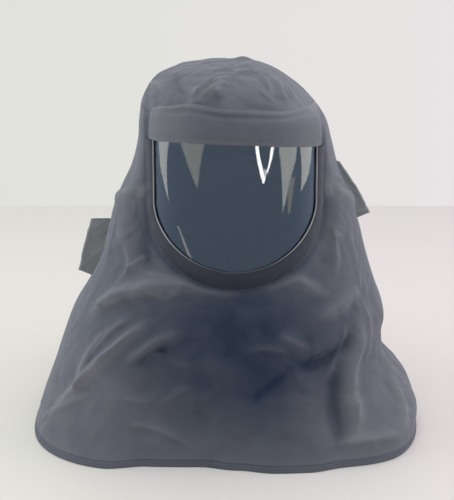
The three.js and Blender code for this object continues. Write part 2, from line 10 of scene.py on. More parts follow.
import bmesh
import bpy
import numpy as np
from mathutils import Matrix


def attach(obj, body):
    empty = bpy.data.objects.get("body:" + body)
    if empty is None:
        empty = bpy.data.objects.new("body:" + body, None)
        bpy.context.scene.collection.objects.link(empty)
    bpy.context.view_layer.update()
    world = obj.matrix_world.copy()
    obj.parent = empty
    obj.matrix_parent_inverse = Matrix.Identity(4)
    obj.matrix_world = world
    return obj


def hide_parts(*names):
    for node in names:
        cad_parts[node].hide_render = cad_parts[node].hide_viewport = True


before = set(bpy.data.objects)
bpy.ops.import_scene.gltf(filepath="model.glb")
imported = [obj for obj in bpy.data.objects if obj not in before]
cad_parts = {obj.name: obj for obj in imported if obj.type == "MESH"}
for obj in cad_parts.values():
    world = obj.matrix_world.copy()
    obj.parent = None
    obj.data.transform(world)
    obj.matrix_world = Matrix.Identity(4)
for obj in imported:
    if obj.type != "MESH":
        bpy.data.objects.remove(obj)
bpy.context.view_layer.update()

# %% [markdown]
# ## The sizes
# A pattern cutter works in millimetres, so all sizes here are millimetres too, and a mesh is turned to
# metres when it is made. They are the sizes of the frame's solids, because the cloth has to lie where the
# frame says.

# %% Sizes of the hood
MM = 0.001
CLOTH_WALL = 3.0
SEAM_GAP = 0.3
WINDOW_WIDTH, WINDOW_HEIGHT, WINDOW_FOOT_DROP = 248.0, 187.0, 93.0
WINDOW_BOW, WINDOW_LEAN, WINDOW_SETBACK = 65.6, 8.1, 3.0
WINDOW_THICKNESS, WINDOW_TUCK = 2.0, 20.0
CHEEK_WIDTH = 27.0
BROW_DROP, HEAD_DROP, CAPE_DROP = 101.0, 163.0, 405.0
FACE_REACH, NAPE_REACH, HEAD_MIDDLE = 139.0, 165.0, 18.0
CROWN_SEAM_DROP = 66.0
HEM_WIDTH, HEM_FRONT, HEM_BACK, HEM_MIDDLE = 614.0, 229.0, 212.0, -20.0
HEM_WAVE, HEM_BAND, HEM_STAND, HEM_LEVELLED = 14.0, 9.0, 1.0, 60.0
RIM_WIDTH, RIM_SIDE_WIDTH, RIM_THICKNESS, RIM_LAP = 21.0, 9.0, 6.0, 4.0
BROW_WIDTH, BROW_HEIGHT, BROW_SAG, BROW_ROLL = 250.0, 49.0, 10.0, 2.2
BROW_THICKNESS = 9.0

HEAD_WIDTH = WINDOW_WIDTH + 2 * CHEEK_WIDTH
WINDOW_HALF = WINDOW_WIDTH / 2
WINDOW_RADIUS = (WINDOW_HALF**2 + WINDOW_BOW**2) / (2 * WINDOW_BOW)
LEAN_SLOPE = math.tan(math.radians(WINDOW_LEAN))
ROLL_SLOPE = math.tan(math.radians(BROW_ROLL))
CROWN_TOP = CLOTH_WALL
BROW_LINE = CROWN_TOP - BROW_DROP
WINDOW_FOOT = BROW_LINE - WINDOW_HEIGHT
FOOT_START = WINDOW_FOOT + WINDOW_FOOT_DROP
FULL_DROP = HEAD_DROP + CAPE_DROP
HEM_HEIGHT = CROWN_TOP - FULL_DROP
BAND_TOP = HEM_HEIGHT + HEM_BAND
print("full drop", FULL_DROP, "mm, window radius", round(WINDOW_RADIUS, 1), "mm")

# %% [markdown]
# ## The form of the cloth
# On a body, a hood is round at the head and spreads at the shoulders. Level sections say this best: each is
# a rounded oval with its own reach to the front and the back. A smooth curve runs through them from crown to
# hem.

# %% Level sections
# Head part. drop: share of the head drop. half: share of half the head width. shift: share of the head
# width. front and back: shares of the face and nape reach. middle: share of the head middle.
# square: 2 is an ellipse, more is squarer.
HEAD_SECTIONS = np.array([
    # drop, half, shift, front, back, middle, square
    (0.0, 0.0, 0.0, 0.0, 0.0, 0.0, 2.0),
    (0.012, 0.24, -0.02, 0.245, 0.28, 0.3, 2.0),
    (0.061, 0.46, -0.046, 0.518, 0.594, 0.75, 2.05),
    (0.172, 0.68, -0.061, 0.763, 0.836, 1.0, 2.1),
    (0.337, 0.848, -0.043, 0.9, 0.958, 1.05, 2.1),
    (0.54, 0.954, -0.013, 0.964, 1.0, 1.0, 2.05),
    (0.755, 1.0, 0.0, 1.0, 1.0, 0.95, 2.0),
    (1.0, 1.073, 0.0, 1.043, 0.982, 0.85, 2.0),
])
# Cape. drop: share of the cape drop. spread, forward, rearward: how far each side has gone from the last
# head section to the hem. shift: share of the hem width.
CAPE_SECTIONS = np.array([
    # drop, spread, shift, forward, rearward, square
    (0.112, 0.138, -0.002, 0.076, -0.04, 2.05),
    (0.223, 0.241, 0.0, 0.165, 0.0, 2.1),
    (0.335, 0.324, 0.0, 0.291, 0.12, 2.2),
    (0.447, 0.448, -0.006, 0.494, 0.28, 2.3),
    (0.558, 0.596, -0.0156, 0.62, 0.44, 2.45),
    (0.67, 0.645, -0.0334, 0.696, 0.6, 2.6),
    (0.782, 0.758, -0.0323, 0.772, 0.74, 2.8),
    (0.893, 0.947, -0.0154, 0.873, 0.88, 3.0),
    (1.0, 1.0, -0.024, 1.0, 1.0, 3.3),
])


def section_table():
    """Rows of height, half width, shift, middle, front reach, back reach and squareness, in millimetres. The
    cape's sizes go from the last head section's to the hem's by the share in its table. The first row mirrors
    the second through the crown, and the last carries on in a straight line."""
    drop, half, shift, front, back, middle, square = HEAD_SECTIONS.T
    centre = middle * HEAD_MIDDLE
    head = np.column_stack([
        CROWN_TOP - drop * HEAD_DROP, half * HEAD_WIDTH / 2, shift * HEAD_WIDTH, centre,
        front * FACE_REACH + centre, back * NAPE_REACH - centre, square])
    neck = head[-1]
    drop, spread, shift, forward, rearward, square = CAPE_SECTIONS.T
    centre = neck[3] + (HEM_MIDDLE - neck[3]) * drop
    ahead = neck[4] - neck[3] + (HEM_FRONT - neck[4] + neck[3]) * forward
    behind = neck[5] + neck[3] + (HEM_BACK - neck[5] - neck[3]) * rearward
    cape = np.column_stack([
        CROWN_TOP - HEAD_DROP - drop * CAPE_DROP, neck[1] + (HEM_WIDTH / 2 - neck[1]) * spread,
        shift * HEM_WIDTH, centre, centre + ahead, behind - centre, square])
    rows = np.vstack([head, cape])
    before = rows[1] * np.array([1, -1, 1, 1, -1, -1, 1])
    return np.vstack([before, rows, 2 * rows[-1] - rows[-2]])


SECTIONS = section_table()
LAST_LEVEL = len(SECTIONS) - 3
print(LAST_LEVEL + 1, "sections")


# %% Read the sections at any level
def section_at(level):
    """Height, half width, shift, middle, front, back and squareness at each level: the cubic through four
    rows a, b, c and d, which is b plus half of (c - a) t plus (2a - 5b + 4c - d) t squared plus
    (3b - a - 3c + d) t cubed."""
    held = np.clip(np.asarray(level, float), 0, LAST_LEVEL)
    start = np.minimum(held.astype(int), LAST_LEVEL - 1)
    t = (held - start)[..., None]
    a, b, c, d = (SECTIONS[start + k] for k in range(4))
    rows = b + ((c - a) * t + (2 * a - 5 * b + 4 * c - d) * t**2 + (3 * b - a - 3 * c + d) * t**3) / 2
    return np.moveaxis(rows, -1, 0)


FINE_LEVELS = np.linspace(0, LAST_LEVEL, 6001)
FINE_DROPS = -section_at(FINE_LEVELS)[0]


def level_at(height):
    """The level at a height, read back from a fine table of heights."""
    return np.interp(-np.asarray(height, float), FINE_DROPS, FINE_LEVELS)


def oval_shares(turn, square):
    """Shares of the half width and of the reach at a turn round the section: sine and cosine, scaled so that
    their powers of the squareness add up to one. Turn 0 is the front and 90 degrees is the right side."""
    sine, cosine = np.sin(turn), np.cos(turn)
    scale = (np.abs(sine) ** square + np.abs(cosine) ** square) ** (-1 / square)
    return scale * sine, scale * cosine


def ease(start, end, value):
    """A smooth step from 0 at start to 1 at end: three times the share squared less twice its cube."""
    share = np.clip((value - start) / (end - start), 0, 1)
    return share * share * (3 - 2 * share)


# %% [markdown]
# ## The window's bow
# The clear sheet is bent round a cylinder that leans forward at its foot. Round its edge the cloth has to
# follow the same bow, or the window would not fit the hole. So the cloth's free form is blended into the
# window's face near the edge.

# %% Window and form
def window_distance(x, z):
    """Millimetres outside the window's edge as seen from the front: beside the straight sides it is the way
    past half the width, and below them the way past a half ellipse."""
    below = np.maximum(0, FOOT_START - z)
    share = np.hypot(x / WINDOW_HALF, below / WINDOW_FOOT_DROP)
    return np.where(below == 0, np.abs(x) - WINDOW_HALF, (share - 1) * min(WINDOW_HALF, WINDOW_FOOT_DROP))


def window_face(x, z):
    """How far back the window's face is: a leaning round bow, which eases into a flange past its edge."""
    flange = CHEEK_WIDTH / 4
    past = np.maximum(0, np.abs(x) - WINDOW_HALF)
    aside = np.minimum(np.abs(x), WINDOW_HALF) + flange * (1 - np.exp(-past / flange))
    held = np.minimum(aside, WINDOW_RADIUS)
    sweep = WINDOW_RADIUS - np.sqrt(WINDOW_RADIUS**2 - held**2)
    return WINDOW_SETBACK - FACE_REACH + LEAN_SLOPE * (z - BROW_LINE) + sweep


def window_pull(x, z, ahead):
    """How far the cloth follows the window's bow: wholly at its edge, and not at all three rim widths away,
    at the side seam or above the brow band."""
    around = 1 - ease(0, 3 * RIM_WIDTH, window_distance(x, z))
    return around * ease(0.12, 0.48, ahead) * ease(BROW_LINE + BROW_HEIGHT, BROW_LINE + WINDOW_TUCK, z)


def form(turn, level):
    """The smooth form without folds. Across is the half width times its share, and depth is the middle less
    the front or back reach times its share, blended into the window's face."""
    height, half, shift, middle, front, back, square = section_at(level)
    side, ahead = oval_shares(turn, square)
    x = shift + half * side
    free = middle - np.where(ahead > 0, front, back) * ahead
    pull = np.where(ahead > 0, window_pull(x, height, ahead), 0)
    return np.stack([x, free + (window_face(x, height) - free) * pull, height + 0 * x], -1)


def unit(vectors):
    """Each vector divided by its length."""
    return vectors / np.maximum(np.linalg.norm(vectors, axis=-1, keepdims=True), 1e-9)


NORMAL_STEP = 0.01


def outward(surface, turn, level):
    """The surface's outward direction, from the cross product of its steps down and round. At the crown it
    points up, and it lies level near the hem, so that the hem stays in one plane."""
    down = surface(turn, level + NORMAL_STEP) - surface(turn, level - NORMAL_STEP)
    aside = surface(turn + NORMAL_STEP, level) - surface(turn - NORMAL_STEP, level)
    normal = unit(np.cross(down, aside))
    top = (np.asarray(level) < NORMAL_STEP)[..., None]
    normal = np.where(top, np.array([0.0, 0.0, 1.0]), normal)
    normal[..., 2] *= ease(BAND_TOP, BAND_TOP + HEM_LEVELLED, section_at(level)[0])
    return unit(normal)


def turn_at(x, level):
    """The turn of the front surface at a place across it: the arc tangent of its two shares."""
    _, half, shift, _, _, _, square = section_at(level)
    side = np.clip((x - shift) / half, -1, 1)
    return np.arctan2(side, (1 - np.abs(side) ** square) ** (1 / square))


probe = form(np.array([0.0]), level_at(np.array([BROW_LINE])))[0]
print("front of the form at the brow line", np.round(probe, 1))

# %% [markdown]
# ## Folds
# Heavy cloth bends in a few long soft folds, which run between the places that hold it: the window's rim,
# the shoulders and the table. Each fold here is a curve through three places. Its height dies away at both
# ends, and one side can be steeper, as where a swag hangs over. Between the folds lies the low crumple of
# cloth that has been packed away and put on again.

# %% Fold tables
# from, via and to are each across (share of the half width at that level) and down (share of the full
# drop). width and height are millimetres before CROWN_LIFT or CAPE_LIFT, and a crease has a height below
# zero. steep is the share of the width on the right-hand side of the path, as seen from outside.
FRONT_FOLDS = np.array([
    # from, via, to, width, height, steep
    (-0.86, 0.64, -0.62, 0.558, -0.02, 0.545, 13, 9, 0.7),
    (-0.05, 0.545, 0.3, 0.528, 0.58, 0.565, 12, 7, 0.7),
    (0.86, 0.575, 0.7, 0.602, 0.52, 0.628, 11, 5, 1.0),
    (-0.66, 0.52, -0.5, 0.527, -0.28, 0.528, 8, 4, 0.7),
    (-1.0, 0.39, -0.96, 0.35, -0.78, 0.315, 11, 5, 1.0),
    (0.8, 0.3, 0.93, 0.34, 1.0, 0.4, 12, 6, 1.0),
    (-0.66, 0.63, -0.78, 0.72, -0.8, 0.84, 10, 6, 0.8),
    (-0.54, 0.63, -0.7, 0.74, -0.9, 0.9, 11, 7, 0.8),
    (-0.69, 0.64, -0.75, 0.7, -0.78, 0.77, 8, -5, 1.0),
    (-0.31, 0.65, -0.46, 0.68, -0.57, 0.74, 9, 4, 0.8),
    (-0.35, 0.685, -0.43, 0.705, -0.52, 0.74, 8, -3, 1.0),
    (0.73, 0.67, 0.63, 0.72, 0.42, 0.735, 11, -6, 0.8),
    (0.29, 0.65, 0.36, 0.668, 0.46, 0.69, 8, 4, 1.0),
    (0.8, 0.65, 0.74, 0.78, 0.66, 0.9, 13, 7, 0.8),
    (0.68, 0.76, 0.6, 0.85, 0.52, 0.95, 10, -6, 1.0),
    (0.52, 0.94, 0.68, 0.935, 0.84, 0.945, 9, 4, 0.6),
    (0.97, 0.79, 0.95, 0.86, 0.84, 0.94, 12, 7, 0.8),
    (-0.45, 0.085, -0.3, 0.05, -0.02, 0.024, 7, 6, 0.7),
    (-0.32, 0.08, -0.16, 0.06, -0.02, 0.045, 6, 4, 0.7),
    (-0.4, 0.013, 0.1, 0.007, 0.95, 0.004, 7, 2, 0.8),
    (-0.42, 0.083, -0.22, 0.076, 0.0, 0.07, 6, -4, 1.0),
    (0.2, 0.078, 0.38, 0.086, 0.6, 0.1, 6, -4, 1.0),
    (0.82, 0.035, 0.77, 0.057, 0.71, 0.08, 6, 3, 1.0),
])
# Short creases and pinches that only the cloth's face shows.
FINE_FOLDS = np.array([
    # from, via, to, width, height, steep
    (-0.89, 0.616, -0.81, 0.619, -0.71, 0.583, 6, 3.5, 0.5),
    (-0.71, 0.585, -0.57, 0.568, -0.46, 0.573, 6, 3.0, 0.4),
    (-0.46, 0.573, -0.37, 0.557, -0.30, 0.534, 6, 3.5, 0.4),
    (-0.30, 0.534, -0.21, 0.527, -0.06, 0.540, 5, 3.0, 0.4),
    (-0.07, 0.529, 0.10, 0.534, 0.40, 0.540, 5, 3.0, 0.5),
    (-0.65, 0.631, -0.73, 0.682, -0.79, 0.769, 5, 3.5, 0.5),
    (-0.56, 0.644, -0.65, 0.703, -0.75, 0.754, 5, 4.0, 0.5),
    (-0.75, 0.754, -0.78, 0.800, -0.80, 0.825, 5, 3.0, 0.6),
    (-0.43, 0.667, -0.47, 0.690, -0.54, 0.726, 5, 3.0, 0.5),
    (-0.38, 0.703, -0.44, 0.708, -0.47, 0.731, 4, 2.5, 0.5),
    (-0.31, 0.721, -0.25, 0.728, -0.18, 0.733, 5, 2.0, 0.7),
    (-0.50, 0.899, -0.38, 0.899, -0.19, 0.947, 7, 3.0, 0.6),
    (-0.71, 0.828, -0.83, 0.871, -0.92, 0.927, 7, 3.0, 0.7),
    (-0.56, 0.825, -0.45, 0.830, -0.40, 0.835, 5, 2.0, 0.6),
    (0.12, 0.698, 0.20, 0.685, 0.35, 0.698, 5, 2.5, 0.5),
    (0.17, 0.825, 0.27, 0.787, 0.39, 0.749, 7, -2.5, 1.0),
    (-0.31, 0.833, -0.25, 0.805, -0.17, 0.787, 6, 2.0, 0.8),
    (0.70, 0.654, 0.66, 0.718, 0.61, 0.766, 6, 3.5, 0.5),
    (0.86, 0.613, 0.85, 0.687, 0.84, 0.764, 7, 3.0, 0.8),
    (0.73, 0.838, 0.67, 0.884, 0.60, 0.922, 7, 3.0, 0.6),
    (0.91, 0.278, 0.97, 0.346, 1.00, 0.430, 7, 4.0, 0.7),
    (-0.91, 0.440, -0.80, 0.476, -0.75, 0.534, 7, 3.5, 0.7),
    (-0.80, 0.376, -0.68, 0.448, -0.62, 0.499, 7, -3.0, 1.0),
    (0.76, 0.394, 0.76, 0.458, 0.71, 0.529, 7, 3.0, 0.8),
    (0.62, 0.476, 0.72, 0.443, 0.85, 0.445, 7, 2.5, 0.8),
    (-0.63, 0.491, -0.71, 0.496, -0.79, 0.540, 6, 3.0, 0.6),
    (-1.00, 0.060, -0.83, 0.061, -0.74, 0.086, 6, 3.0, 0.8),
    (0.68, 0.025, 0.66, 0.046, 0.55, 0.076, 5, 2.0, 0.8),
    (0.89, 0.050, 0.84, 0.075, 0.78, 0.103, 5, 2.0, 0.8),
    (0.09, 0.020, 0.41, 0.014, 0.71, 0.021, 6, 2.5, 0.6),
    (-0.86, 0.028, -0.62, 0.049, -0.46, 0.073, 6, -2.0, 1.0),
    (-0.43, 0.088, -0.21, 0.057, 0.06, 0.03, 5, 3.0, 0.4),
    (-0.43, 0.09, -0.33, 0.077, -0.12, 0.056, 4, -2.5, 1.0),
    (0.5, 0.05, 0.55, 0.07, 0.6, 0.09, 5, 1.0, 0.5),
    (0.6, 0.06, 0.66, 0.075, 0.72, 0.09, 5, -0.8, 1.0),
])
BACK_FOLDS = np.array([
    # from, via, to, width, height, steep
    (-0.55, 0.33, 0.0, 0.37, 0.6, 0.32, 16, 5, 0.7),
    (-0.76, 0.45, -0.72, 0.7, -0.62, 0.97, 24, 8, 1.0),
    (-0.28, 0.42, -0.26, 0.65, -0.33, 0.95, 22, 7, 1.0),
    (0.16, 0.45, 0.22, 0.68, 0.12, 0.95, 22, 6, 1.0),
    (0.7, 0.42, 0.68, 0.7, 0.78, 0.96, 24, 8, 1.0),
    (-0.5, 0.3, -0.1, 0.33, 0.35, 0.31, 8, 3, 0.5),
    (-0.6, 0.42, -0.45, 0.52, -0.3, 0.55, 9, 3, 0.7),
    (0.3, 0.45, 0.42, 0.56, 0.6, 0.6, 9, 3, 0.7),
    (-0.1, 0.6, 0.0, 0.75, -0.05, 0.9, 10, 3, 0.8),
    (0.42, 0.62, 0.48, 0.8, 0.42, 0.95, 12, -3, 1.0),
    (-0.55, 0.6, -0.48, 0.8, -0.5, 0.95, 12, -3, 1.0),
])
# Wave of the hem, as shares of the hem wave, from the left side to the right side.
FRONT_WAVES = np.array([
    (-1.0, 0.0), (-0.6, 0.6), (-0.38, -0.5), (-0.12, -0.55), (0.05, 0.15),
    (0.24, 0.85), (0.4, 0.85), (0.57, 0.3), (0.8, 0.6), (1.0, 0.0)])
BACK_WAVES = np.array([
    (-1.0, 0.0), (-0.72, -0.3), (-0.4, -0.6), (0.0, 0.5), (0.4, -0.6), (0.72, -0.3), (1.0, 0.0)])
FOLD_STEPS = 8


def read_waves(table, across):
    """The table's value at each place, with an eased step from row to row."""
    row = np.clip(np.searchsorted(table[:, 0], across, side="right") - 1, 0, len(table) - 2)
    start, end = table[row], table[row + 1]
    share = ease(start[..., 0], end[..., 0], across)
    return start[..., 1] + (end[..., 1] - start[..., 1]) * share


def fold_chains(table, is_back):
    """Each fold's places on the form. In shares, the path is the quadratic curve that passes its via place
    halfway: (1 - t) squared times from, plus 2 t (1 - t) times the bend, plus t squared times to."""
    t = np.linspace(0, 1, FOLD_STEPS + 1)[:, None]
    start, via, end = (table[:, None, k:k + 2] for k in (0, 2, 4))
    bend = 2 * via - (start + end) / 2
    path = (1 - t) ** 2 * start + 2 * t * (1 - t) * bend + t**2 * end
    level = level_at(CROWN_TOP - path[..., 1] * FULL_DROP)
    _, half, shift, *_ = section_at(level)
    turn = turn_at(shift + half * path[..., 0], level)
    return form(math.pi - turn if is_back else turn, level)


# Folds whose middle is this far down or less lie on the crown, where the cloth is loose and lifts more.
CROWN_FOLDS_END, CROWN_LIFT, CAPE_LIFT = 0.11, 1.9, 1.55

FOLDS = np.vstack([FRONT_FOLDS, FINE_FOLDS, BACK_FOLDS])
on_crown = FOLDS[:, 3] < CROWN_FOLDS_END
FOLDS = FOLDS[:, 6:]
FOLDS[:, 1] *= np.where(on_crown, CROWN_LIFT, CAPE_LIFT)
CHAINS = np.concatenate([
    fold_chains(FRONT_FOLDS, False), fold_chains(FINE_FOLDS, False), fold_chains(BACK_FOLDS, True)])
print(len(FOLDS), "folds")


# %% Lift of the folds
SHARP_WIDTH, BROAD_POWER, SHARP_POWER = 8.5, 1.7, 1.25


def fold_lift(place, normal):
    """The summed height of all folds at each place. A fold's section is exp of minus a power of distance
    over width. The power is lower for a narrow fold, whose crest is sharper. It fades at both ends, and on
    its right-hand side the width is the steep share."""
    lift = np.zeros(place.shape[:-1])
    for (width, height, steep), chain in zip(FOLDS, CHAINS):
        middle = (chain.min(0) + chain.max(0)) / 2
        reach = np.abs(chain - middle).max(0) + 3 * width
        near = np.all(np.abs(place - middle) < reach, axis=-1)
        spots = place[near]
        start, step = chain[:-1], np.diff(chain, axis=0)
        away = spots[:, None] - start
        share = np.clip((away * step).sum(-1) / (step * step).sum(-1), 0, 1)
        gap = away - share[..., None] * step
        distance = np.linalg.norm(gap, axis=-1)
        best = distance.argmin(1)
        row = np.arange(len(spots))
        along = (best + share[row, best]) / FOLD_STEPS
        turned = (np.cross(step[best], gap[row, best]) * normal[near]).sum(-1)
        wide = width * np.where(turned < 0, steep, 1.0)
        fade = ease(-0.12, 0.25, along) * (1 - ease(0.75, 1.12, along))
        power = BROAD_POWER if width > SHARP_WIDTH else SHARP_POWER
        lift[near] += height * fade * np.exp(-((distance[row, best] / wide) ** power))
    return lift


# %% Crumple of used cloth
NOISE_CELLS = 32
noise_table = np.random.default_rng(7).uniform(-1, 1, (NOISE_CELLS,) * 3)


def soft_noise(place, size, offset=0.0):
    """Smooth noise from -1 to 1: random values on a lattice with this cell size in millimetres, blended
    between the eight corners of a cell by eased shares."""
    spot = place / size + offset
    cell = np.floor(spot).astype(int)
    share = spot - cell
    share = share * share * (3 - 2 * share)
    total = np.zeros(place.shape[:-1])
    for corner in np.ndindex(2, 2, 2):
        weight = np.prod(np.where(np.array(corner) == 1, share, 1 - share), axis=-1)
        total += weight * noise_table[tuple(np.moveaxis((cell + corner) % NOISE_CELLS, -1, 0))]
    return total


# The lattice of the noise is turned away from the object's axes, so that no crease runs straight down.
NOISE_TURN = np.array([[0.78, 0.16, 0.6], [-0.3, 0.95, 0.14], [-0.55, -0.29, 0.78]])
# Height, cell size and offset of each swell.
SWELLS = [(2.2, 62.0, 0.0), (1.9, 30.0, 5.3), (0.6, 14.0, 8.9)]
RIDGE_HEIGHT, RIDGE_CELL, RIDGE_STRETCH, RIDGE_POWER = 2.4, 36.0, (1, 1, 0.6), 7
CREASE_DEPTH, CREASE_CELL, CREASE_STRETCH, CREASE_POWER = 1.3, 23.0, (0.7, 1, 1.1), 9
PATCH_CELL = 95.0


def crumple(place):
    """Low relief of used cloth in millimetres: broad swells, plus ridges and less creases, which are thin
    because they are high powers of one less the absolute noise. Ridges and creases come in patches."""
    place = place @ NOISE_TURN
    broad = sum(height * soft_noise(place, cell, offset) for height, cell, offset in SWELLS)
    ridges = (1 - np.abs(soft_noise(place * RIDGE_STRETCH, RIDGE_CELL, 11.7))) ** RIDGE_POWER
    creases = (1 - np.abs(soft_noise(place * CREASE_STRETCH, CREASE_CELL, 19.3))) ** CREASE_POWER
    here = ease(-0.3, 0.4, soft_noise(place, PATCH_CELL, 3.1))
    return broad + RIDGE_HEIGHT * ridges * here - CREASE_DEPTH * creases * (1 - 0.6 * here)


print("crumple at the crown", round(float(crumple(np.array([0.0, 0.0, CROWN_TOP]))), 2), "mm")

# %% The cloth's face
PUCKER_RADIUS, PUCKER_HEIGHT, PUCKER_SIDE = 17.0, 7.0, 12.0
# Clear of the rim and of the brow band the folds start and reach their full height.
RIM_CLEAR, RIM_FREE, BROW_CLEAR, BROW_FREE = 1.05 * RIM_WIDTH, 1.6 * RIM_WIDTH, 6.0, 18.0
SEAM_HOLD, HEM_FLAT, HEM_FREE, WAVE_START = 0.3, 4.0, 40.0, 0.62
# Top edge of the brow band: across, as a share of half its width, and height, as a share of its own.
BROW_OUTLINE = np.array([
    (-1.0, 0.9), (-0.94, 0.98), (-0.82, 1.03), (-0.52, 1.13),
    (-0.1, 1.0), (0.5, 0.97), (0.94, 1.1), (1.0, 1.12)])


def brow_edge(x):
    """Height of the brow band's lower edge: the brow line, a little rolled, less a sag that grows with the
    square of x."""
    return BROW_LINE - ROLL_SLOPE * x - BROW_SAG * (x / WINDOW_HALF) ** 2


def brow_rise(x):
    """Height of the brow band above its lower edge, from its outline."""
    return BROW_HEIGHT * read_waves(BROW_OUTLINE, 2 * x / BROW_WIDTH)


def cloth_lift(turn, level, place, normal):
    """How far the cloth stands off the smooth form: a gather on the crown, plus folds, hem wave and crumple.
    Folds don't lift it under the rim and the brow band, nor at the side seams, where two panels are sewn
    together."""
    beside = ease(RIM_CLEAR, RIM_FREE, window_distance(place[..., 0], place[..., 2]))
    top = brow_edge(place[..., 0]) + brow_rise(place[..., 0])
    over_brow = ease(top + BROW_CLEAR, top + BROW_FREE, place[..., 2])
    front = np.cos(turn) > 0
    free = np.where(front, np.maximum(beside, over_brow), 1) * ease(0, SEAM_HOLD, np.abs(np.cos(turn)))
    side, _ = oval_shares(turn, section_at(level)[6])
    waves = np.where(front, read_waves(FRONT_WAVES, side), read_waves(BACK_WAVES, side))
    down = (CROWN_TOP - place[..., 2]) / FULL_DROP
    wave = HEM_WAVE * waves * ease(WAVE_START, 1, down)
    low = ease(HEM_HEIGHT + HEM_FLAT, HEM_HEIGHT + HEM_FREE, place[..., 2])
    aside = np.linalg.norm(place - np.array([PUCKER_SIDE, 0, CROWN_TOP]), axis=-1)
    pucker = PUCKER_HEIGHT * np.exp(-((aside / PUCKER_RADIUS) ** 2))
    return pucker + free * (fold_lift(place, normal) + wave + low * crumple(place))


def cloth(turn, level):
    """The cloth's outer face: the form moved outwards by its lift."""
    place = form(turn, level)
    normal = outward(form, turn, level)
    return place + normal * cloth_lift(turn, level, place, normal)[..., None]


def off_cloth(turn, level, stand):
    """A place that stands off the cloth's outer face by so many millimetres."""
    turn, level, stand = np.broadcast_arrays(turn, level, stand)
    return cloth(turn, level) + outward(cloth, turn, level) * stand[..., None]


def off_front(x, z, stand):
    """A place over the front, given as seen from the front, standing off the cloth."""
    x, z, stand = np.broadcast_arrays(*(np.asarray(value, float) for value in (x, z, stand)))
    level = level_at(z)
    return off_cloth(turn_at(x, level), level, stand)


print("cloth over the brow", np.round(cloth(np.array([0.3]), np.array([3.5]))[0], 1))

# %% [markdown]
# ## From numbers to meshes
# A grid of places becomes a mesh of quads. A texture map in metres goes with it, so that a weave keeps its
# real scale wherever the cloth goes. Places that fall together, as at the crown, are merged.

# %% Mesh helpers
def grid_quads(rows, columns, wrap=False):
    """Corner numbers of the quads between neighbouring rows and columns, wound so that they face outwards
    when columns run to the right and rows run down. With wrap, the last column joins the first."""
    count = columns if wrap else columns - 1
    row, column = np.meshgrid(np.arange(rows - 1), np.arange(count), indexing="ij")
    after = (column + 1) % columns
    quads = np.stack([row * columns + column, (row + 1) * columns + column,
                      (row + 1) * columns + after, row * columns + after], -1)
    return quads.reshape(-1, 4)


def lengths_along(grid, axis):
    """Running length in metres along one axis of a grid of places."""
    steps = np.linalg.norm(np.diff(grid, axis=axis), axis=-1) * MM
    start = np.zeros_like(np.take(steps, [0], axis=axis))
    return np.concatenate([start, np.cumsum(steps, axis=axis)], axis=axis)


def cloth_map(grid):
    """Texture places in metres: the length along the row, from the middle column, and down the column."""
    across = lengths_along(grid, 1)
    across -= across[:, across.shape[1] // 2][:, None]
    return np.stack([across, -lengths_along(grid, 0)], -1).reshape(-1, 2)


def make_piece(name, places, quads, look, map_places=None, wear_and_light=None, merge=0.02):
    """Puts places in millimetres and quads into a smooth mesh, with a texture map for each corner and a value
    of wear and painted light for each place, merges what lies together and links the object."""
    mesh = bpy.data.meshes.new(name)
    mesh.from_pydata((places.reshape(-1, 3) * MM).tolist(), [], quads.tolist())
    if map_places is None:
        map_places = places.reshape(-1, 3)[:, [0, 2]] * MM
    corner = np.empty(len(mesh.loops), np.int32)
    mesh.loops.foreach_get("vertex_index", corner)
    layer = mesh.uv_layers.new(name="weave")
    layer.data.foreach_set("uv", map_places[corner].astype(np.float32).ravel())
    worn_and_lit = np.zeros(len(mesh.vertices)) if wear_and_light is None else np.asarray(wear_and_light, float).ravel()
    mesh.attributes.new("wear_and_light", "FLOAT", "POINT").data.foreach_set("value", worn_and_lit.astype(np.float32))
    shell = bmesh.new()
    shell.from_mesh(mesh)
    bmesh.ops.remove_doubles(shell, verts=shell.verts, dist=merge * MM)
    loose = [vertex for vertex in shell.verts if not vertex.link_faces]
    bmesh.ops.delete(shell, geom=loose, context="VERTS")
    shell.to_mesh(mesh)
    shell.free()
    mesh.polygons.foreach_set("use_smooth", np.ones(len(mesh.polygons), bool))
    mesh.materials.append(look)
    piece = bpy.data.objects.new(name, mesh)
    bpy.context.scene.collection.objects.link(piece)
    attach(piece, "root")
    return piece


def give_wall(piece, thickness):
    """A cloth sheet's wall, which goes inwards from its outer face and closes round its edges."""
    wall = piece.modifiers.new("wall", "SOLIDIFY")
    wall.thickness = thickness * MM
    wall.offset = -1.0
    wall.use_rim = True
    return piece


def closed_strip(name, rings, look, wear_and_light=None):
    """A strip with a closed section: rings has one row for each place along it and one column for each corner
    of the section. Both ends are closed by drawing the last ring in to its middle."""
    first, last = rings[:1], rings[-1:]
    ends = [np.broadcast_to(ring.mean(1, keepdims=True), ring.shape) for ring in (first, last)]
    full = np.concatenate([ends[0], rings, ends[1]])
    rows, columns = full.shape[:2]
    around = lengths_along(np.concatenate([rings, rings[:, :1]], 1), 1)[:, :-1]
    along = lengths_along(rings, 0)
    places = np.stack([along, around], -1)
    places = np.concatenate([places[:1], places, places[-1:]]).reshape(-1, 2)
    worn_and_lit = np.zeros(full.shape[:2])
    if wear_and_light is not None:
        worn_and_lit[1:-1] = wear_and_light
    return make_piece(name, full, grid_quads(rows, columns, wrap=True), look, places, worn_and_lit)


print("helpers ready")

# %% [markdown]
# ## The cloth's finish
# The shell is a washed navy twill. Seen close, it has fine diagonal ribs, with a little painted shade in
# their valleys. Seen from a step away, it is cloudy: paler along seams, where it has rubbed, and along folds,
# partly from rubbing and partly as painted highlight. A soft sheen brightens it where it turns away from the
# eye. The ribs follow the texture map, and the clouds follow the object, so they run on over the seams.

# %% Cloth material
def new_material(name):
    """An empty node material and its two fixed nodes."""
    made = bpy.data.materials.new(name)
    made.use_nodes = True
    tree = made.node_tree
    return made, tree, tree.nodes["Principled BSDF"]


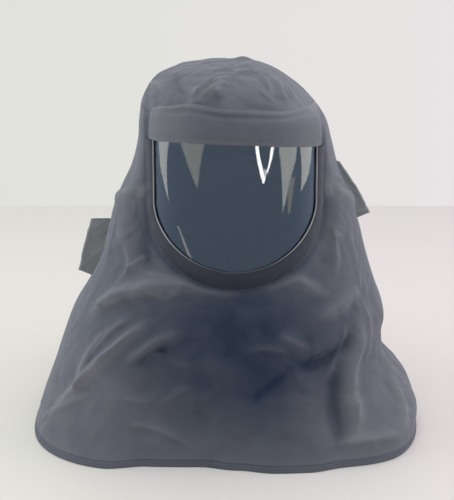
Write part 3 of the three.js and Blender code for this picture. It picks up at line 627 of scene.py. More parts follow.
def add_node(tree, kind, links=None, **settings):
    """A node with its settings. links maps an input's name or number to a value or to another node's
    output."""
    node = tree.nodes.new(kind)
    for key, value in settings.items():
        setattr(node, key, value)
    for key, value in (links or {}).items():
        if isinstance(value, bpy.types.NodeSocket):
            tree.links.new(value, node.inputs[key])
        else:
            node.inputs[key].default_value = value
    return node


def mix_colours(tree, share, first, second):
    """A colour between two, each a colour or another node's output."""
    node = add_node(tree, "ShaderNodeMix", data_type="RGBA")
    for index, value in ((0, share), (6, first), (7, second)):
        if isinstance(value, bpy.types.NodeSocket):
            tree.links.new(value, node.inputs[index])
        else:
            node.inputs[index].default_value = value if index == 0 else (*value, 1.0)
    return node.outputs[2]


def maths(tree, operation, first, second=0.0):
    """One sum on two values or outputs, held from 0 to 1."""
    node = add_node(tree, "ShaderNodeMath", {0: first, 1: second}, operation=operation, use_clamp=True)
    return node.outputs[0]


CREASING, SLUB_DEPTH = 0.004, 0.0003


def cloth_material(name, deep, pale_and_lit, ribs=345.0, rib_depth=0.00006, sheen=0.2, cloud=0.38):
    """Twill: clouds of two sizes and the attribute of wear and painted light blend the deep colour into the
    pale one, ribs paint a little shade into their valleys, and ribs, slubs and fine wrinkles make the relief."""
    made, tree, shader = new_material(name)
    spot = add_node(tree, "ShaderNodeTexCoord").outputs["Object"]
    weave = add_node(tree, "ShaderNodeUVMap", uv_map="weave").outputs[0]
    wear_and_light = add_node(tree, "ShaderNodeAttribute", attribute_name="wear_and_light").outputs["Fac"]
    broad = add_node(tree, "ShaderNodeTexNoise", {"Vector": spot, "Scale": 7.0, "Detail": 3.0}).outputs[0]
    patch = add_node(tree, "ShaderNodeTexNoise", {"Vector": spot, "Scale": 38.0, "Detail": 5.0}).outputs[0]
    rib = add_node(tree, "ShaderNodeTexWave", {"Vector": weave, "Scale": ribs, "Distortion": 0.6},
                   bands_direction="DIAGONAL").outputs["Fac"]
    slub = add_node(tree, "ShaderNodeTexNoise", {"Vector": weave, "Scale": 320.0, "Detail": 4.0}).outputs[0]
    clouds = maths(tree, "ADD", maths(tree, "MULTIPLY", broad, 0.6), maths(tree, "MULTIPLY", patch, 0.4))
    share = maths(tree, "ADD", maths(tree, "MULTIPLY", clouds, cloud), wear_and_light)
    colour = mix_colours(tree, share, deep, pale_and_lit)
    # Painted shade in the valleys of the ribs.
    shade = maths(tree, "MULTIPLY", maths(tree, "SUBTRACT", 1.0, rib), 0.25)
    colour = mix_colours(tree, shade, colour, tuple(0.45 * value for value in deep))
    tree.links.new(colour, shader.inputs["Base Color"])
    ribbed = add_node(tree, "ShaderNodeBump", {"Height": rib, "Strength": 1.0, "Distance": rib_depth})
    slubbed = add_node(tree, "ShaderNodeBump", {
        "Height": slub, "Strength": 0.6, "Distance": SLUB_DEPTH, "Normal": ribbed.outputs[0]})
    wrinkle = add_node(tree, "ShaderNodeTexNoise", {"Vector": spot, "Scale": 16.0, "Detail": 4.0,
                                                    "Distortion": 1.4}, noise_type="RIDGED_MULTIFRACTAL")
    wrinkled = add_node(tree, "ShaderNodeBump", {
        "Height": wrinkle.outputs[0], "Strength": 1.0, "Distance": CREASING, "Normal": slubbed.outputs[0]})
    tree.links.new(wrinkled.outputs[0], shader.inputs["Normal"])
    rough = add_node(tree, "ShaderNodeMapRange", {"Value": patch, "To Min": 0.82, "To Max": 0.98})
    tree.links.new(rough.outputs[0], shader.inputs["Roughness"])
    shader.inputs["Sheen Weight"].default_value = sheen
    shader.inputs["Sheen Roughness"].default_value = 0.45
    shader.inputs["Sheen Tint"].default_value = (0.8, 0.85, 1.0, 1.0)
    shader.inputs["Specular IOR Level"].default_value = 0.2
    return made


NAVY = (0.018, 0.030, 0.060)
# Each pale colour serves both worn cloth and painted light.
HOOD_CLOTH = cloth_material("hood_cloth", NAVY, (0.211, 0.211, 0.231))
BACK_CLOTH = cloth_material("back_cloth", NAVY, (0.192, 0.192, 0.210))
BROW_CLOTH = cloth_material("brow_cloth", (0.056, 0.062, 0.080), (0.262, 0.260, 0.284), cloud=0.5)
# The binding is the shell's cloth; its darker deep colour is painted shade.
RIM_CLOTH = cloth_material("rim_cloth", (0.006, 0.010, 0.024), (0.190, 0.190, 0.205), cloud=0.25)
print("cloth materials", [look.name for look in (HOOD_CLOTH, BACK_CLOTH, BROW_CLOTH, RIM_CLOTH)])

# %% [markdown]
# ## The three cloth panels
# The crown panel covers the front of the dome, the front panel carries the window's hole, the bib and the
# front of the cape, and the back panel is one large piece. Each is a single continuous sheet with a wall.
# First come the lines where they meet and the steps of their grids.

# %% Seam lines and steps of the grids
CROWN_SEAM_LEVEL = float(level_at(CROWN_TOP - CROWN_SEAM_DROP))
FRONT_TOP = CROWN_TOP - CROWN_SEAM_DROP - SEAM_GAP
FRONT_COLUMNS, FRONT_ROWS = 245, 217
CROWN_ROWS, BACK_COLUMNS, BACK_ROWS, BACK_CROWN_ROWS = 72, 181, 221, 40
PANEL_FOOT = BAND_TOP + SEAM_GAP


CROWDING = 0.35


def crowded(share):
    """Turns over the front, which crowd together at the window's sides, where the cloth bends most: even
    turns plus a quarter of the crowding times the sine of four turns."""
    even = math.pi * (share - 0.5)
    return even + CROWDING * np.sin(4 * even) / 4


def rim_width(z):
    """The rim's width at a height: narrow at the window's sides and broad at its foot."""
    return RIM_SIDE_WIDTH + (RIM_WIDTH - RIM_SIDE_WIDTH) * ease(0, 1, (FOOT_START - z) / WINDOW_FOOT_DROP)


# %% [markdown]
# ## Wear and painted light
# A washed hood pales where it rubs: along the side seams, above the hem and partly on the crests of folds.
# The
# rest is painted light: painted shade on the chest, in creases and in the groove beside the rim, painted
# highlight on the crests, and painted light at the sides and on the crown's right. Each corner of a panel
# gets a share of the pale colour, worked out from the same folds that shape it, so colour and relief agree.

# %% Where the cloth is pale
# Middle and reach of the painted shade on the chest, in x and z as seen from the front.
CHEST = np.array([5.0, -385.0])
CHEST_REACH = np.array([174.0, 156.0])
CHEST_POWER = 2.6
# Shares of the pale colour: painted light off the chest, the start, and what a crest adds for each
# millimetre.
PAINTED_LIGHT_SHARE, UNWORN, CREST_RUB_AND_HIGHLIGHT = 0.67, -0.105, 0.042
# A crest's paleness is partly rubbing and partly painted highlight, and a crease's darkening is painted
# shade.
CREST_LOWEST, CREST_HIGHEST, CRUMPLE_SHARE = -0.22, 0.28, 0.55
SEAM_WORN, SEAM_RADIUS, SEAM_REACH, HEM_WORN, HEM_REACH = 0.08, 150.0, 7.0, 0.06, 8.0
# The groove beside the rim is darkened as painted shade, and the crown's right is paled as painted light.
GROOVE_SHADE, GROOVE_REACH, CROWN_RIGHT_LIGHT = 0.25, 4.0, 0.13


def pale_and_lit(place):
    """Painted light: one, less a flat-topped bell round the middle of the chest, which is exp of minus a
    power of the distance, so the chest takes painted shade. The bell is on the front alone."""
    away = np.hypot(*np.moveaxis((place[..., ::2] - CHEST) / CHEST_REACH, -1, 0))
    return 1 - np.exp(-(away**CHEST_POWER)) * ease(20, -60, place[..., 1])


def wear_and_light_of(turn, level):
    """Where the cloth is pale: painted light away from the chest, rubbing and painted highlight on the crests
    of folds, wear along the side seams and above the hem, and painted light at the crown's right-hand side.
    Creases and the groove beside the rim take painted shade."""
    place = form(turn, level)
    normal = outward(form, turn, level)
    crest = fold_lift(place, normal) + CRUMPLE_SHARE * crumple(place)
    seam = np.exp(-((np.cos(turn) * SEAM_RADIUS / SEAM_REACH) ** 2))
    hem = np.exp(-((place[..., 2] - BAND_TOP) / HEM_REACH) ** 2)
    # Painted shade in the groove beside the rim.
    past_rim = window_distance(place[..., 0], place[..., 2]) - rim_width(place[..., 2])
    beside_rim = np.exp(-((past_rim / GROOVE_REACH) ** 2)) * (place[..., 1] < 0)
    rubbed_and_lit = np.clip(CREST_RUB_AND_HIGHLIGHT * crest, CREST_LOWEST, CREST_HIGHEST) + SEAM_WORN * seam + HEM_WORN * hem
    # Painted light on the crown's right-hand side.
    crown_right_light = CROWN_RIGHT_LIGHT * ease(30, 110, place[..., 0]) * ease(-95, -50, place[..., 2])
    return PAINTED_LIGHT_SHARE * pale_and_lit(place) + UNWORN + rubbed_and_lit - GROOVE_SHADE * beside_rim + crown_right_light


# %% [markdown]
# ## Cutting the panels
# Every panel is the same surface read over its own turns and levels. Only the front panel needs more work,
# because its quads have to end neatly on the window's outline.

# %% Crown, front and back panels
def cloth_panel(name, turns, levels, look, back=0.0):
    """A panel over every turn and level, as an outer face that gets its wall afterwards."""
    turn, level = np.meshgrid(turns, levels)
    grid = cloth(turn, level) + np.array([0, back, 0])
    piece = make_piece(name, grid, grid_quads(*turn.shape), look, cloth_map(grid), wear_and_light_of(turn, level))
    return give_wall(piece, CLOTH_WALL)


crown = cloth_panel("crown_cloth", crowded(np.linspace(0, 1, FRONT_COLUMNS)),
                    np.linspace(0, CROWN_SEAM_LEVEL, CROWN_ROWS), HOOD_CLOTH)
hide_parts("crown_panel")


def front_panel():
    """The front panel with the window's hole. Quads whose middle is in the hole are left out, and the corners
    that are left at its edge move onto the outline, along the line from the window's middle."""
    turn, level = np.meshgrid(crowded(np.linspace(0, 1, FRONT_COLUMNS)),
                              level_at(np.linspace(FRONT_TOP, PANEL_FOOT, FRONT_ROWS)))
    flat = form(turn, level).reshape(-1, 3)
    quads = grid_quads(*turn.shape)
    middles = flat[quads].mean(1)
    kept = window_distance(middles[:, 0], middles[:, 2]) > 0
    on_kept, on_cut = np.zeros(len(flat), bool), np.zeros(len(flat), bool)
    on_kept[quads[kept]] = True
    on_cut[quads[~kept]] = True
    edge = on_kept & on_cut
    x, z = flat[edge, 0], flat[edge, 2]
    below = np.maximum(0, FOOT_START - z)
    share = np.hypot(x / WINDOW_HALF, below / WINDOW_FOOT_DROP)
    x = np.where(below > 0, x / share, np.sign(x) * WINDOW_HALF)
    z = np.where(below > 0, FOOT_START - below / share, z)
    turn, level = turn.ravel(), level.ravel()
    level[edge] = level_at(z)
    turn[edge] = turn_at(x, level[edge])
    turn, level = turn.reshape(FRONT_ROWS, -1), level.reshape(FRONT_ROWS, -1)
    grid = cloth(turn, level)
    piece = make_piece("front_cloth", grid, quads[kept], HOOD_CLOTH, cloth_map(grid), wear_and_light_of(turn, level))
    return give_wall(piece, CLOTH_WALL)


front = front_panel()
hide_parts("front_panel")

back = cloth_panel("back_cloth", np.linspace(math.pi / 2, 3 * math.pi / 2, BACK_COLUMNS),
                   np.concatenate([
                       np.linspace(0, CROWN_SEAM_LEVEL, BACK_CROWN_ROWS),
                       level_at(np.linspace(FRONT_TOP - 2, PANEL_FOOT, BACK_ROWS - BACK_CROWN_ROWS))]),
                   BACK_CLOTH, back=SEAM_GAP)
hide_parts("back_panel")
print("panels", [(piece.name, len(piece.data.polygons)) for piece in (crown, front, back)])

# %% [markdown]
# ## The hem
# The raw edge is bound with a folded strip of the same cloth. It is a little thicker than the panel and makes
# the dark line along the bottom.

# %% Bound hem
# The hem takes a smaller share of the same painted light: painted shade under the chest and paler towards the
# sides.
HEM_PAINTED_LIGHT_SHARE, HEM_UNWORN = 0.55, -0.1


def band_section(low, high, out, inside, corners=20, power=4.0):
    """A rounded flat section as height and stand: a superellipse between two heights and two stands."""
    angle = np.linspace(0, 2 * math.pi, corners, endpoint=False)
    up, across = np.sin(angle), np.cos(angle)
    scale = (np.abs(up) ** power + np.abs(across) ** power) ** (-1 / power)
    return ((low + high) / 2 + (high - low) / 2 * up * scale,
            (out + inside) / 2 + (out - inside) / 2 * across * scale)


def hem_band(name, turns, look, back=0.0):
    """The band's section carried round the hem."""
    height, stand = band_section(HEM_HEIGHT, BAND_TOP, HEM_STAND, -CLOTH_WALL - HEM_STAND)
    turn, height = np.meshgrid(turns, height, indexing="ij")
    rings = off_cloth(turn, level_at(height), np.broadcast_to(stand, turn.shape))
    rings[..., 2] = height
    worn_and_lit = HEM_PAINTED_LIGHT_SHARE * pale_and_lit(rings) + HEM_UNWORN
    return closed_strip(name, rings + np.array([0, back, 0]), look, wear_and_light=worn_and_lit)


front_hem = hem_band("front_hem", crowded(np.linspace(0.001, 0.999, 241)), HOOD_CLOTH)
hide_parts("hem_binding_front")
back_hem = hem_band("back_hem", np.linspace(math.pi / 2 + 0.003, 3 * math.pi / 2 - 0.003, 181), BACK_CLOTH,
                    back=SEAM_GAP)
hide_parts("hem_binding_back")
print("hem", len(front_hem.data.polygons), len(back_hem.data.polygons))

# %% [markdown]
# ## The window
# A 2 mm sheet of clear plastic with a faint grey-green cast, bent to the bow. It is a real plate with two
# faces, so light bends in and out of it. Slight smears change its gloss from place to place.

# %% Clear window
def window_material():
    """Clear plastic: full transmission, and a roughness that noise varies a little."""
    made, tree, shader = new_material("window_plastic")
    spot = add_node(tree, "ShaderNodeTexCoord").outputs["Object"]
    smear = add_node(tree, "ShaderNodeTexNoise", {"Vector": spot, "Scale": 30.0, "Detail": 5.0}).outputs[0]
    tint = mix_colours(tree, smear, (0.86, 0.92, 0.91), (0.90, 0.95, 0.94))
    tree.links.new(tint, shader.inputs["Base Color"])
    rough = add_node(tree, "ShaderNodeMapRange", {"Value": smear, "To Min": 0.005, "To Max": 0.03})
    tree.links.new(rough.outputs[0], shader.inputs["Roughness"])
    shader.inputs["Transmission Weight"].default_value = 1.0
    shader.inputs["IOR"].default_value = 1.5
    return made


WINDOW_PLASTIC = window_material()
SIDE_ROWS, FOOT_ROWS, WINDOW_COLUMNS = 40, 61, 71


def clear_window():
    """Rows run down from behind the brow band to the foot, each as wide as the outline is there, and the
    section runs over the outer face and back over the inner one."""
    drop = np.sin(np.linspace(0, math.pi / 2, FOOT_ROWS))
    top = BROW_LINE + WINDOW_TUCK - SEAM_GAP
    foot_drop = WINDOW_FOOT_DROP - SEAM_GAP
    z = np.concatenate([np.linspace(top, FOOT_START, SIDE_ROWS + 1)[:-1], FOOT_START - foot_drop * drop])
    below = np.clip((FOOT_START - z) / foot_drop, 0, 1)
    half = (WINDOW_HALF - SEAM_GAP) * np.sqrt(1 - below**2)
    share = np.sin(np.linspace(-math.pi / 2, math.pi / 2, WINDOW_COLUMNS))
    x = half[:, None] * share
    z = np.broadcast_to(z[:, None], x.shape)
    outer = off_front(x, z, -SEAM_GAP)
    inner = off_front(x, z, -SEAM_GAP - WINDOW_THICKNESS)
    rings = np.concatenate([outer, inner[:, ::-1]], 1)
    return closed_strip("clear_window", rings, WINDOW_PLASTIC)


window = clear_window()
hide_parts("face_window")
print("window", len(window.data.polygons))

# %% [markdown]
# ## The rolled binding
# A strip of cloth is rolled over the edge where window and hood meet. It stands proud as a soft dark roll,
# with a thin bead at its inner lip, and it ends under the brow band. Both carry painted light: pale sides and
# a highlight on the crest, and painted shade at the foot. A section that is carried along the window's
# outline makes both.

# %% Rim binding
RIM_SKEW, RIM_FULLNESS, RIM_LIP, RIM_BACK, RIM_UNDER_BROW = 0.8, 0.6, 0.4, 0.25, 0.6
# The roll swells and thins a little from stitch to stitch.
SWELL, SWELL_STEP = 0.05, 0.41
# Painted light on the roll: paler at the sides, a painted highlight on its crest, and painted shade at the
# foot.
RIM_SIDE_LIGHT, RIM_CREST_HIGHLIGHT, RIM_FOOT_SHADE = 0.33, 0.12, 0.7


def rim_path(count):
    """Places along the window's outline, equally far apart, from the brow band's left end down round the
    foot to its right end, how far down the foot each lies, and the outward direction there."""
    angle = np.linspace(0, math.pi, 721)
    sides = np.linspace(0, 1, 200)[:-1]
    top = BROW_LINE - 3
    x = np.concatenate([-WINDOW_HALF + 0 * sides, -WINDOW_HALF * np.cos(angle), WINDOW_HALF + 0 * sides])
    z = np.concatenate([top + (FOOT_START - top) * sides, FOOT_START - WINDOW_FOOT_DROP * np.sin(angle),
                        FOOT_START + (top - FOOT_START) * (1 - sides[::-1])])
    length = np.concatenate([[0], np.cumsum(np.hypot(np.diff(x), np.diff(z)))])
    even = np.linspace(0, length[-1], count)
    x, z = np.interp(even, length, x), np.interp(even, length, z)
    down = np.clip((FOOT_START - z) / WINDOW_FOOT_DROP, 0, 1)
    away = np.stack([x / WINDOW_HALF**2, -down / WINDOW_FOOT_DROP], -1)
    return x, z, down, away / np.linalg.norm(away, axis=-1, keepdims=True)


def rim_binding(count=321):
    """The roll's section runs over its back from the lip on the window to its outer edge on the cloth, as a
    skewed half sine, and returns under it. It is painted pale at the sides and on its crest as a highlight,
    and carries painted shade at the foot."""
    x, z, down, away = rim_path(count)
    share = np.linspace(0, 1, 17)
    width = rim_width(z)
    out = -RIM_LAP + (width[:, None] + RIM_LAP) * share
    crest = np.sin(math.pi * share**RIM_SKEW) ** RIM_FULLNESS
    swell = 1 + SWELL * np.sin(np.arange(count) * SWELL_STEP)[:, None]
    over = RIM_LIP + (RIM_THICKNESS - RIM_LIP) * crest * swell
    under_share = share[::-1][1:-1]
    under = -RIM_LAP + (width[:, None] + RIM_LAP) * under_share
    across = np.concatenate([out, under], 1)
    stand = np.concatenate([over, np.full(under.shape, RIM_BACK)], 1)
    ceiling = brow_edge(x)[:, None] - RIM_UNDER_BROW
    spot_x = x[:, None] + away[:, :1] * across
    spot_z = np.minimum(z[:, None] + away[:, 1:] * across, ceiling)
    rings = off_front(spot_x, spot_z, stand)
    crest_highlight = np.concatenate([RIM_CREST_HIGHLIGHT * crest, 0 * under_share])[::-1]
    worn_and_lit = RIM_SIDE_LIGHT * (1 - down[:, None]) + crest_highlight * (1 - RIM_FOOT_SHADE * down[:, None])
    return closed_strip("rim_binding", rings[:, ::-1], RIM_CLOTH, wear_and_light=worn_and_lit)


binding = rim_binding()
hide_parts("window_binding")


def tube(path, normal, radius, corners=10):
    """Rings round a path: the radius times the outward direction's cosine plus the sideways one's sine."""
    forward = unit(np.gradient(path, axis=0))
    side = unit(np.cross(normal, forward))
    angle = np.linspace(0, 2 * math.pi, corners, endpoint=False)[:, None]
    return path[:, None] + radius * (np.cos(angle) * unit(normal)[:, None] + np.sin(angle) * side[:, None])


# The bead's pale colour is a painted highlight along the lip.
PIPING = cloth_material("rim_piping", (0.02, 0.024, 0.04), (0.44, 0.45, 0.46), sheen=0.3, cloud=0.3)


def rim_piping(count=261, radius=1.1):
    """A bead along the binding's inner lip, painted pale at the sides as a highlight, with painted shade at
    the foot.
    """
    x, z, down, away = rim_path(count)
    x, z = x - away[:, 0] * RIM_LAP, z - away[:, 1] * RIM_LAP
    low = off_front(x, z, 0 * x)
    path = off_front(x, z, 0 * x + radius + 0.5)
    rings = tube(path, path - low, radius)
    worn_and_lit = np.broadcast_to(0.75 * ease(1.0, 0.5, down)[:, None], rings.shape[:2])
    return closed_strip("rim_piping", rings, PIPING, wear_and_light=worn_and_lit)


piping = rim_piping()
print("rim", len(binding.data.polygons), len(piping.data.polygons))

# %% [markdown]
# ## The brow band
# A padded band holds the top of the window. It is thickest in its lower half, and a groove along its upper
# part sets off a roll of cloth at its top edge. Shallow dents keep its face from looking moulded.

# %% Padded brow band
# The groove's place and width are shares of the band's height, and it climbs by GROOVE_CLIMB at the ends.
GROOVE_AT, GROOVE_CLIMB, GROOVE_WIDTH, GROOVE_DEPTH = 0.78, 0.12, 0.05, 3.5
END_ROUNDING, BAND_BACK = 7.0, 0.35
# The pad's section: how low its crest lies, how full it is and how much thinner it gets upwards.
PAD_SKEW, PAD_FULLNESS, PAD_TAPER = 0.62, 0.4, 0.6


def brow_band(columns=181):
    """Sections from left to right. Each runs over the pad from its lower to its upper edge and back behind
    it. Near both ends the section draws in by the root of one less a square, which rounds them."""
    across = np.sin(np.linspace(-math.pi / 2, math.pi / 2, columns))
    x = across * BROW_WIDTH / 2
    share = (1 - np.cos(np.linspace(0, math.pi, 25))) / 2
    inset = np.clip((BROW_WIDTH / 2 - np.abs(x)) / END_ROUNDING, 0, 1)
    rounded = np.sqrt(1 - (1 - inset) ** 2)[:, None]
    low, high = brow_edge(x)[:, None], (brow_edge(x) + brow_rise(x))[:, None]
    middle, spread = (low + high) / 2, (high - low) * (0.72 + 0.28 * rounded)
    z_over = middle + spread * (share - 0.5)
    pad = np.sin(math.pi * share**PAD_SKEW) ** PAD_FULLNESS * (1 - PAD_TAPER * share)
    place = np.stack(np.broadcast_arrays(x[:, None], 0 * z_over, z_over), -1)
    dents = 0.7 * soft_noise(place * (1.0, 1.0, 0.35), 16.0, 2.2) + 0.6 * soft_noise(place, 42.0, 9.1)
    edge = GROOVE_AT + GROOVE_CLIMB * across[:, None] ** 2
    groove = GROOVE_DEPTH * np.exp(-(((share - edge) / GROOVE_WIDTH) ** 2)) * (1 - across[:, None] ** 6)
    over = 0.5 + np.maximum((BROW_THICKNESS + dents) * pad - groove, 0.3) * rounded
    back_share = share[::-1][1:-1]
    z_back = middle + spread * (back_share - 0.5)
    z_all = np.concatenate([z_over, z_back], 1)
    stand = np.concatenate([over, np.full(z_back.shape, BAND_BACK)], 1)
    rings = off_front(np.broadcast_to(x[:, None], z_all.shape), z_all, stand)
    # The pad is paler along its lower and upper edges, and paler towards both ends as painted light.
    edges = sum(worn_and_lit * np.exp(-(((share - at) / 0.06) ** 2)) for worn_and_lit, at in ((0.2, 0.05), (0.15, 0.95)))
    worn_and_lit = 0.12 + 0.42 * across[:, None] ** 2 + np.concatenate([edges, 0 * back_share])
    return closed_strip("brow_pad", rings, BROW_CLOTH, wear_and_light=worn_and_lit)


brow = brow_band()
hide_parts("brow_band")
print("brow band", len(brow.data.polygons))

# %% [markdown]
# ## The side straps
# A strap of flat webbing is folded double behind each side seam, to pull the cape in. Webbing is coarser than
# the shell, its pale grey is painted light on the navy webbing, and the fold has pressed two lines into each
# strap.

# %% Folded straps
# The webbing's pale grey is painted light: the straps are navy like the shell.
STRAP_CLOTH = cloth_material("strap_cloth", (0.25, 0.262, 0.262), (0.37, 0.38, 0.38), ribs=240.0,
                             rib_depth=0.00012, sheen=0.3, cloud=0.5)
# side, top and bottom (shares of the full drop), top reach, bottom reach, bow, degrees behind the seam, and
# the start and slope of each pressed line, as shares of the webbing's width
STRAPS = {
    "left_strap": (-1, 0.466, 0.632, 37.0, 24.0, 7.0, 14.0, [(-0.11, 0.33), (0.44, 0.48)], "side_strap_left"),
    "right_strap": (1, 0.292, 0.455, 9.0, 24.0, 2.0, 10.0, [(0.9, 0.02), (0.3, 0.35)], "side_strap_right"),
}
STRAP_THICKNESS, STRAP_LAYER_GAP, STRAP_STRAIGHT, STRAP_END_LIFT = 2.0, 7.0, 0.4, 9.0
STRAP_SAG, PRESSED_HEIGHT, PRESSED_WIDTH = 1.5, 0.7, 0.016


def side_strap(name, side, top, bottom, top_reach, bottom_reach, bow, behind, lines):
    """The webbing leaves the cloth, goes straight out, turns back in a half circle and returns beside
    itself."""
    turn = side * (math.pi / 2 + math.radians(behind))
    bend = STRAP_LAYER_GAP / 2
    u, v = np.meshgrid(np.linspace(0, 1, 61), np.linspace(0, 1, 81))
    level = level_at(CROWN_TOP - (top + (bottom - top) * v) * FULL_DROP)
    root = off_cloth(np.full(u.shape, turn), level, np.full(u.shape, 0.6))
    straight = top_reach + (bottom_reach - top_reach) * v + bow * np.sin(math.pi * v) - bend
    share = np.clip(np.minimum(u, 1 - u) / STRAP_STRAIGHT, 0, 1)
    out = straight * share
    round_turn = math.pi * (np.clip((u - STRAP_STRAIGHT) / (1 - 2 * STRAP_STRAIGHT), 0, 1) - 0.5)
    sag = STRAP_SAG * np.sin(math.pi * v) * np.sin(2 * math.pi * u)
    pressed = sum(np.exp(-(((v - start - slope * share) / PRESSED_WIDTH) ** 2)) for start, slope in lines)

    def face(stand):
        """One face of the webbing, a stand away from the bend's middle."""
        ridge = stand + PRESSED_HEIGHT * pressed
        x = root[..., 0] + side * (out + ridge * np.cos(round_turn))
        y = root[..., 1] + bend + ridge * np.sin(round_turn) + sag
        return np.stack([x, y, root[..., 2] + STRAP_END_LIFT * v * share], -1)

    outer, inner = face(bend), face(bend - STRAP_THICKNESS)
    rings = np.concatenate([outer, inner[:, ::-1]], 1)
    worn_and_lit = np.concatenate([0.5 * pressed, 0 * pressed], 1)
    if side < 0:
        rings, worn_and_lit = rings[:, ::-1], worn_and_lit[:, ::-1]
    return closed_strip(name, rings, STRAP_CLOTH, wear_and_light=worn_and_lit)


for name, (*numbers, node) in STRAPS.items():
    strap = side_strap(name, *numbers)
    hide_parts(node)

# %% [markdown]
# ## Stitches
# Rows of short thread stitches hold the hem, the seams and the band. Each stitch is a small lens of thread,
# and all rows of a kind are one mesh: the same few corners repeated at equal steps along the seam.

# %% Stitch rows
THREAD = cloth_material("thread", (0.05, 0.056, 0.08), (0.13, 0.14, 0.17), ribs=900.0, rib_depth=0.00003,
                        cloud=0.8)
BEAD_STEPS, BEAD_SIDES = 5, 6


def stitches(name, rows, pitch=3.2, length=2.3, radius=0.38):
    """rows is a list of paths with their outward directions. Along each, one stitch every pitch: a bead whose
    radius is the sine of the share of its length."""
    share, angle = np.meshgrid(np.linspace(0, 1, BEAD_STEPS),
                               np.linspace(0, 2 * math.pi, BEAD_SIDES, endpoint=False), indexing="ij")
    bead = np.stack([(share - 0.5) * length, radius * np.sin(math.pi * share) * np.cos(angle),
                     radius * np.sin(math.pi * share) * np.sin(angle)], -1)
    quads = grid_quads(BEAD_STEPS, BEAD_SIDES, wrap=True)
    places, faces = [], []
    start = 0
    for path, normal in rows:
        run = np.concatenate([[0], np.cumsum(np.linalg.norm(np.diff(path, axis=0), axis=-1))])
        spots = np.arange(pitch, run[-1] - pitch, pitch)
        centre, ahead, out = (
            np.stack([np.interp(at, run, values[:, k]) for k in range(3)], -1)
            for at, values in ((spots, path), (spots + 0.5, path), (spots, normal)))
        forward, out = unit(ahead - centre), unit(out)
        frames = np.stack([forward, out, np.cross(forward, out)], 1)
        made = centre[:, None, None] + np.einsum("ijk,nkl->nijl", bead, frames)
        first = start + np.arange(len(spots)) * BEAD_STEPS * BEAD_SIDES
        places.append(made.reshape(-1, 3))
        faces.append((quads[None] + first[:, None, None]).reshape(-1, 4))
        start += len(spots) * BEAD_STEPS * BEAD_SIDES
    return make_piece(name, np.concatenate(places), np.concatenate(faces)[:, ::-1], THREAD, merge=0.002)


def level_row(turns, height, stand, back=0.0):
    """A row that runs round the cloth at one height."""
    level = np.full(turns.shape, float(level_at(height)))
    place = off_cloth(turns, level, np.full(turns.shape, stand)) + np.array([0, back, 0])
    return place, outward(cloth, turns, level)


def seam_row(turn, top, bottom, stand=0.2, back=0.0):
    """A row that runs down beside a side seam."""
    level = level_at(np.linspace(top, bottom, 300))
    turns = np.full(level.shape, turn)
    place = off_cloth(turns, level, np.full(level.shape, stand)) + np.array([0, back, 0])
    return place, outward(cloth, turns, level)


HEM_ROW_HEIGHT, HEM_ROW_STAND = BAND_TOP - 2.2, HEM_STAND + 0.1
SEAM_ROW_TURN, SEAM_ROW_TOP, SEAM_ROW_FOOT = 1.535, -10.0, PANEL_FOOT + 3
CROWN_ROW_HEIGHT, CROWN_ROW_STAND = CROWN_TOP - CROWN_SEAM_DROP + 3.0, 0.2
front_turns = np.linspace(-1.54, 1.54, 500)
back_turns = np.linspace(math.pi / 2 + 0.03, 3 * math.pi / 2 - 0.03, 500)
hem_stitches = stitches("hem_stitches", [
    level_row(front_turns, HEM_ROW_HEIGHT, HEM_ROW_STAND),
    level_row(back_turns, HEM_ROW_HEIGHT, HEM_ROW_STAND, back=SEAM_GAP)])
seam_stitches = stitches("seam_stitches", [
    seam_row(middle + side * SEAM_ROW_TURN, SEAM_ROW_TOP, SEAM_ROW_FOOT, back=back)
    for middle, back in ((0.0, 0.0), (math.pi, SEAM_GAP)) for side in (-1, 1)] + [
    level_row(part, CROWN_ROW_HEIGHT, CROWN_ROW_STAND)
    for part in (np.linspace(-1.5, -1.12, 80), np.linspace(1.12, 1.5, 80))])


def brow_row(share, stand):
    """A row along the brow band at a share of its height."""
    x = np.linspace(-0.93, 0.93, 300) * BROW_WIDTH / 2
    z = brow_edge(x) + share * brow_rise(x)
    low = off_front(x, z, 0 * x)
    place = off_front(x, z, 0 * x + stand)
    return place, place - low


brow_stitches = stitches("brow_stitches", [brow_row(0.06, BROW_THICKNESS * 0.62)], pitch=3.4)


def rim_row(out, stand):
    """A row along the binding, out from the window's edge."""
    x, z, _, away = rim_path(500)
    x, z = x + away[:, 0] * out, np.minimum(z + away[:, 1] * out, brow_edge(x) - 3)
    low = off_front(x, z, 0 * x)
    place = off_front(x, z, 0 * x + stand)
    return place, place - low


rim_stitches = stitches("rim_stitches", [rim_row(RIM_SIDE_WIDTH - 3.5, RIM_THICKNESS * 0.93)])

# %% [markdown]
# ## The table and the room
# The hood stands on a plain pale table in a bright room. The table ends behind it, where the pale wall
# begins.

# %% Table
# Metres. The table lies just under the hem, and ends early, so that the window doesn't mirror it.
TABLE_FAR, TABLE_NEAR, TABLE_SIDE, TABLE_HEIGHT = 1.22, -1.1, 0.7, HEM_HEIGHT * MM - 0.0004


def table_material():
    """A pale laminate with the faintest mottle, a little greener to the left and pinker to the right."""
    made, tree, shader = new_material("table")
    spot = add_node(tree, "ShaderNodeTexCoord").outputs["Object"]
    mottle = add_node(tree, "ShaderNodeTexNoise", {"Vector": spot, "Scale": 3.0, "Detail": 2.0}).outputs[0]
    side = add_node(tree, "ShaderNodeSeparateXYZ", {0: spot}).outputs[0]
    across = add_node(tree, "ShaderNodeMapRange", {"Value": side, "From Min": -0.6, "From Max": 0.6})
    tint = mix_colours(tree, across.outputs[0], (0.76, 0.745, 0.675), (0.77, 0.715, 0.71))
    tint = mix_colours(tree, maths(tree, "MULTIPLY", mottle, 0.08), tint, (0.7, 0.7, 0.7))
    tree.links.new(tint, shader.inputs["Base Color"])
    shader.inputs["Roughness"].default_value = 0.55
    shader.inputs["Specular IOR Level"].default_value = 0.3
    return made


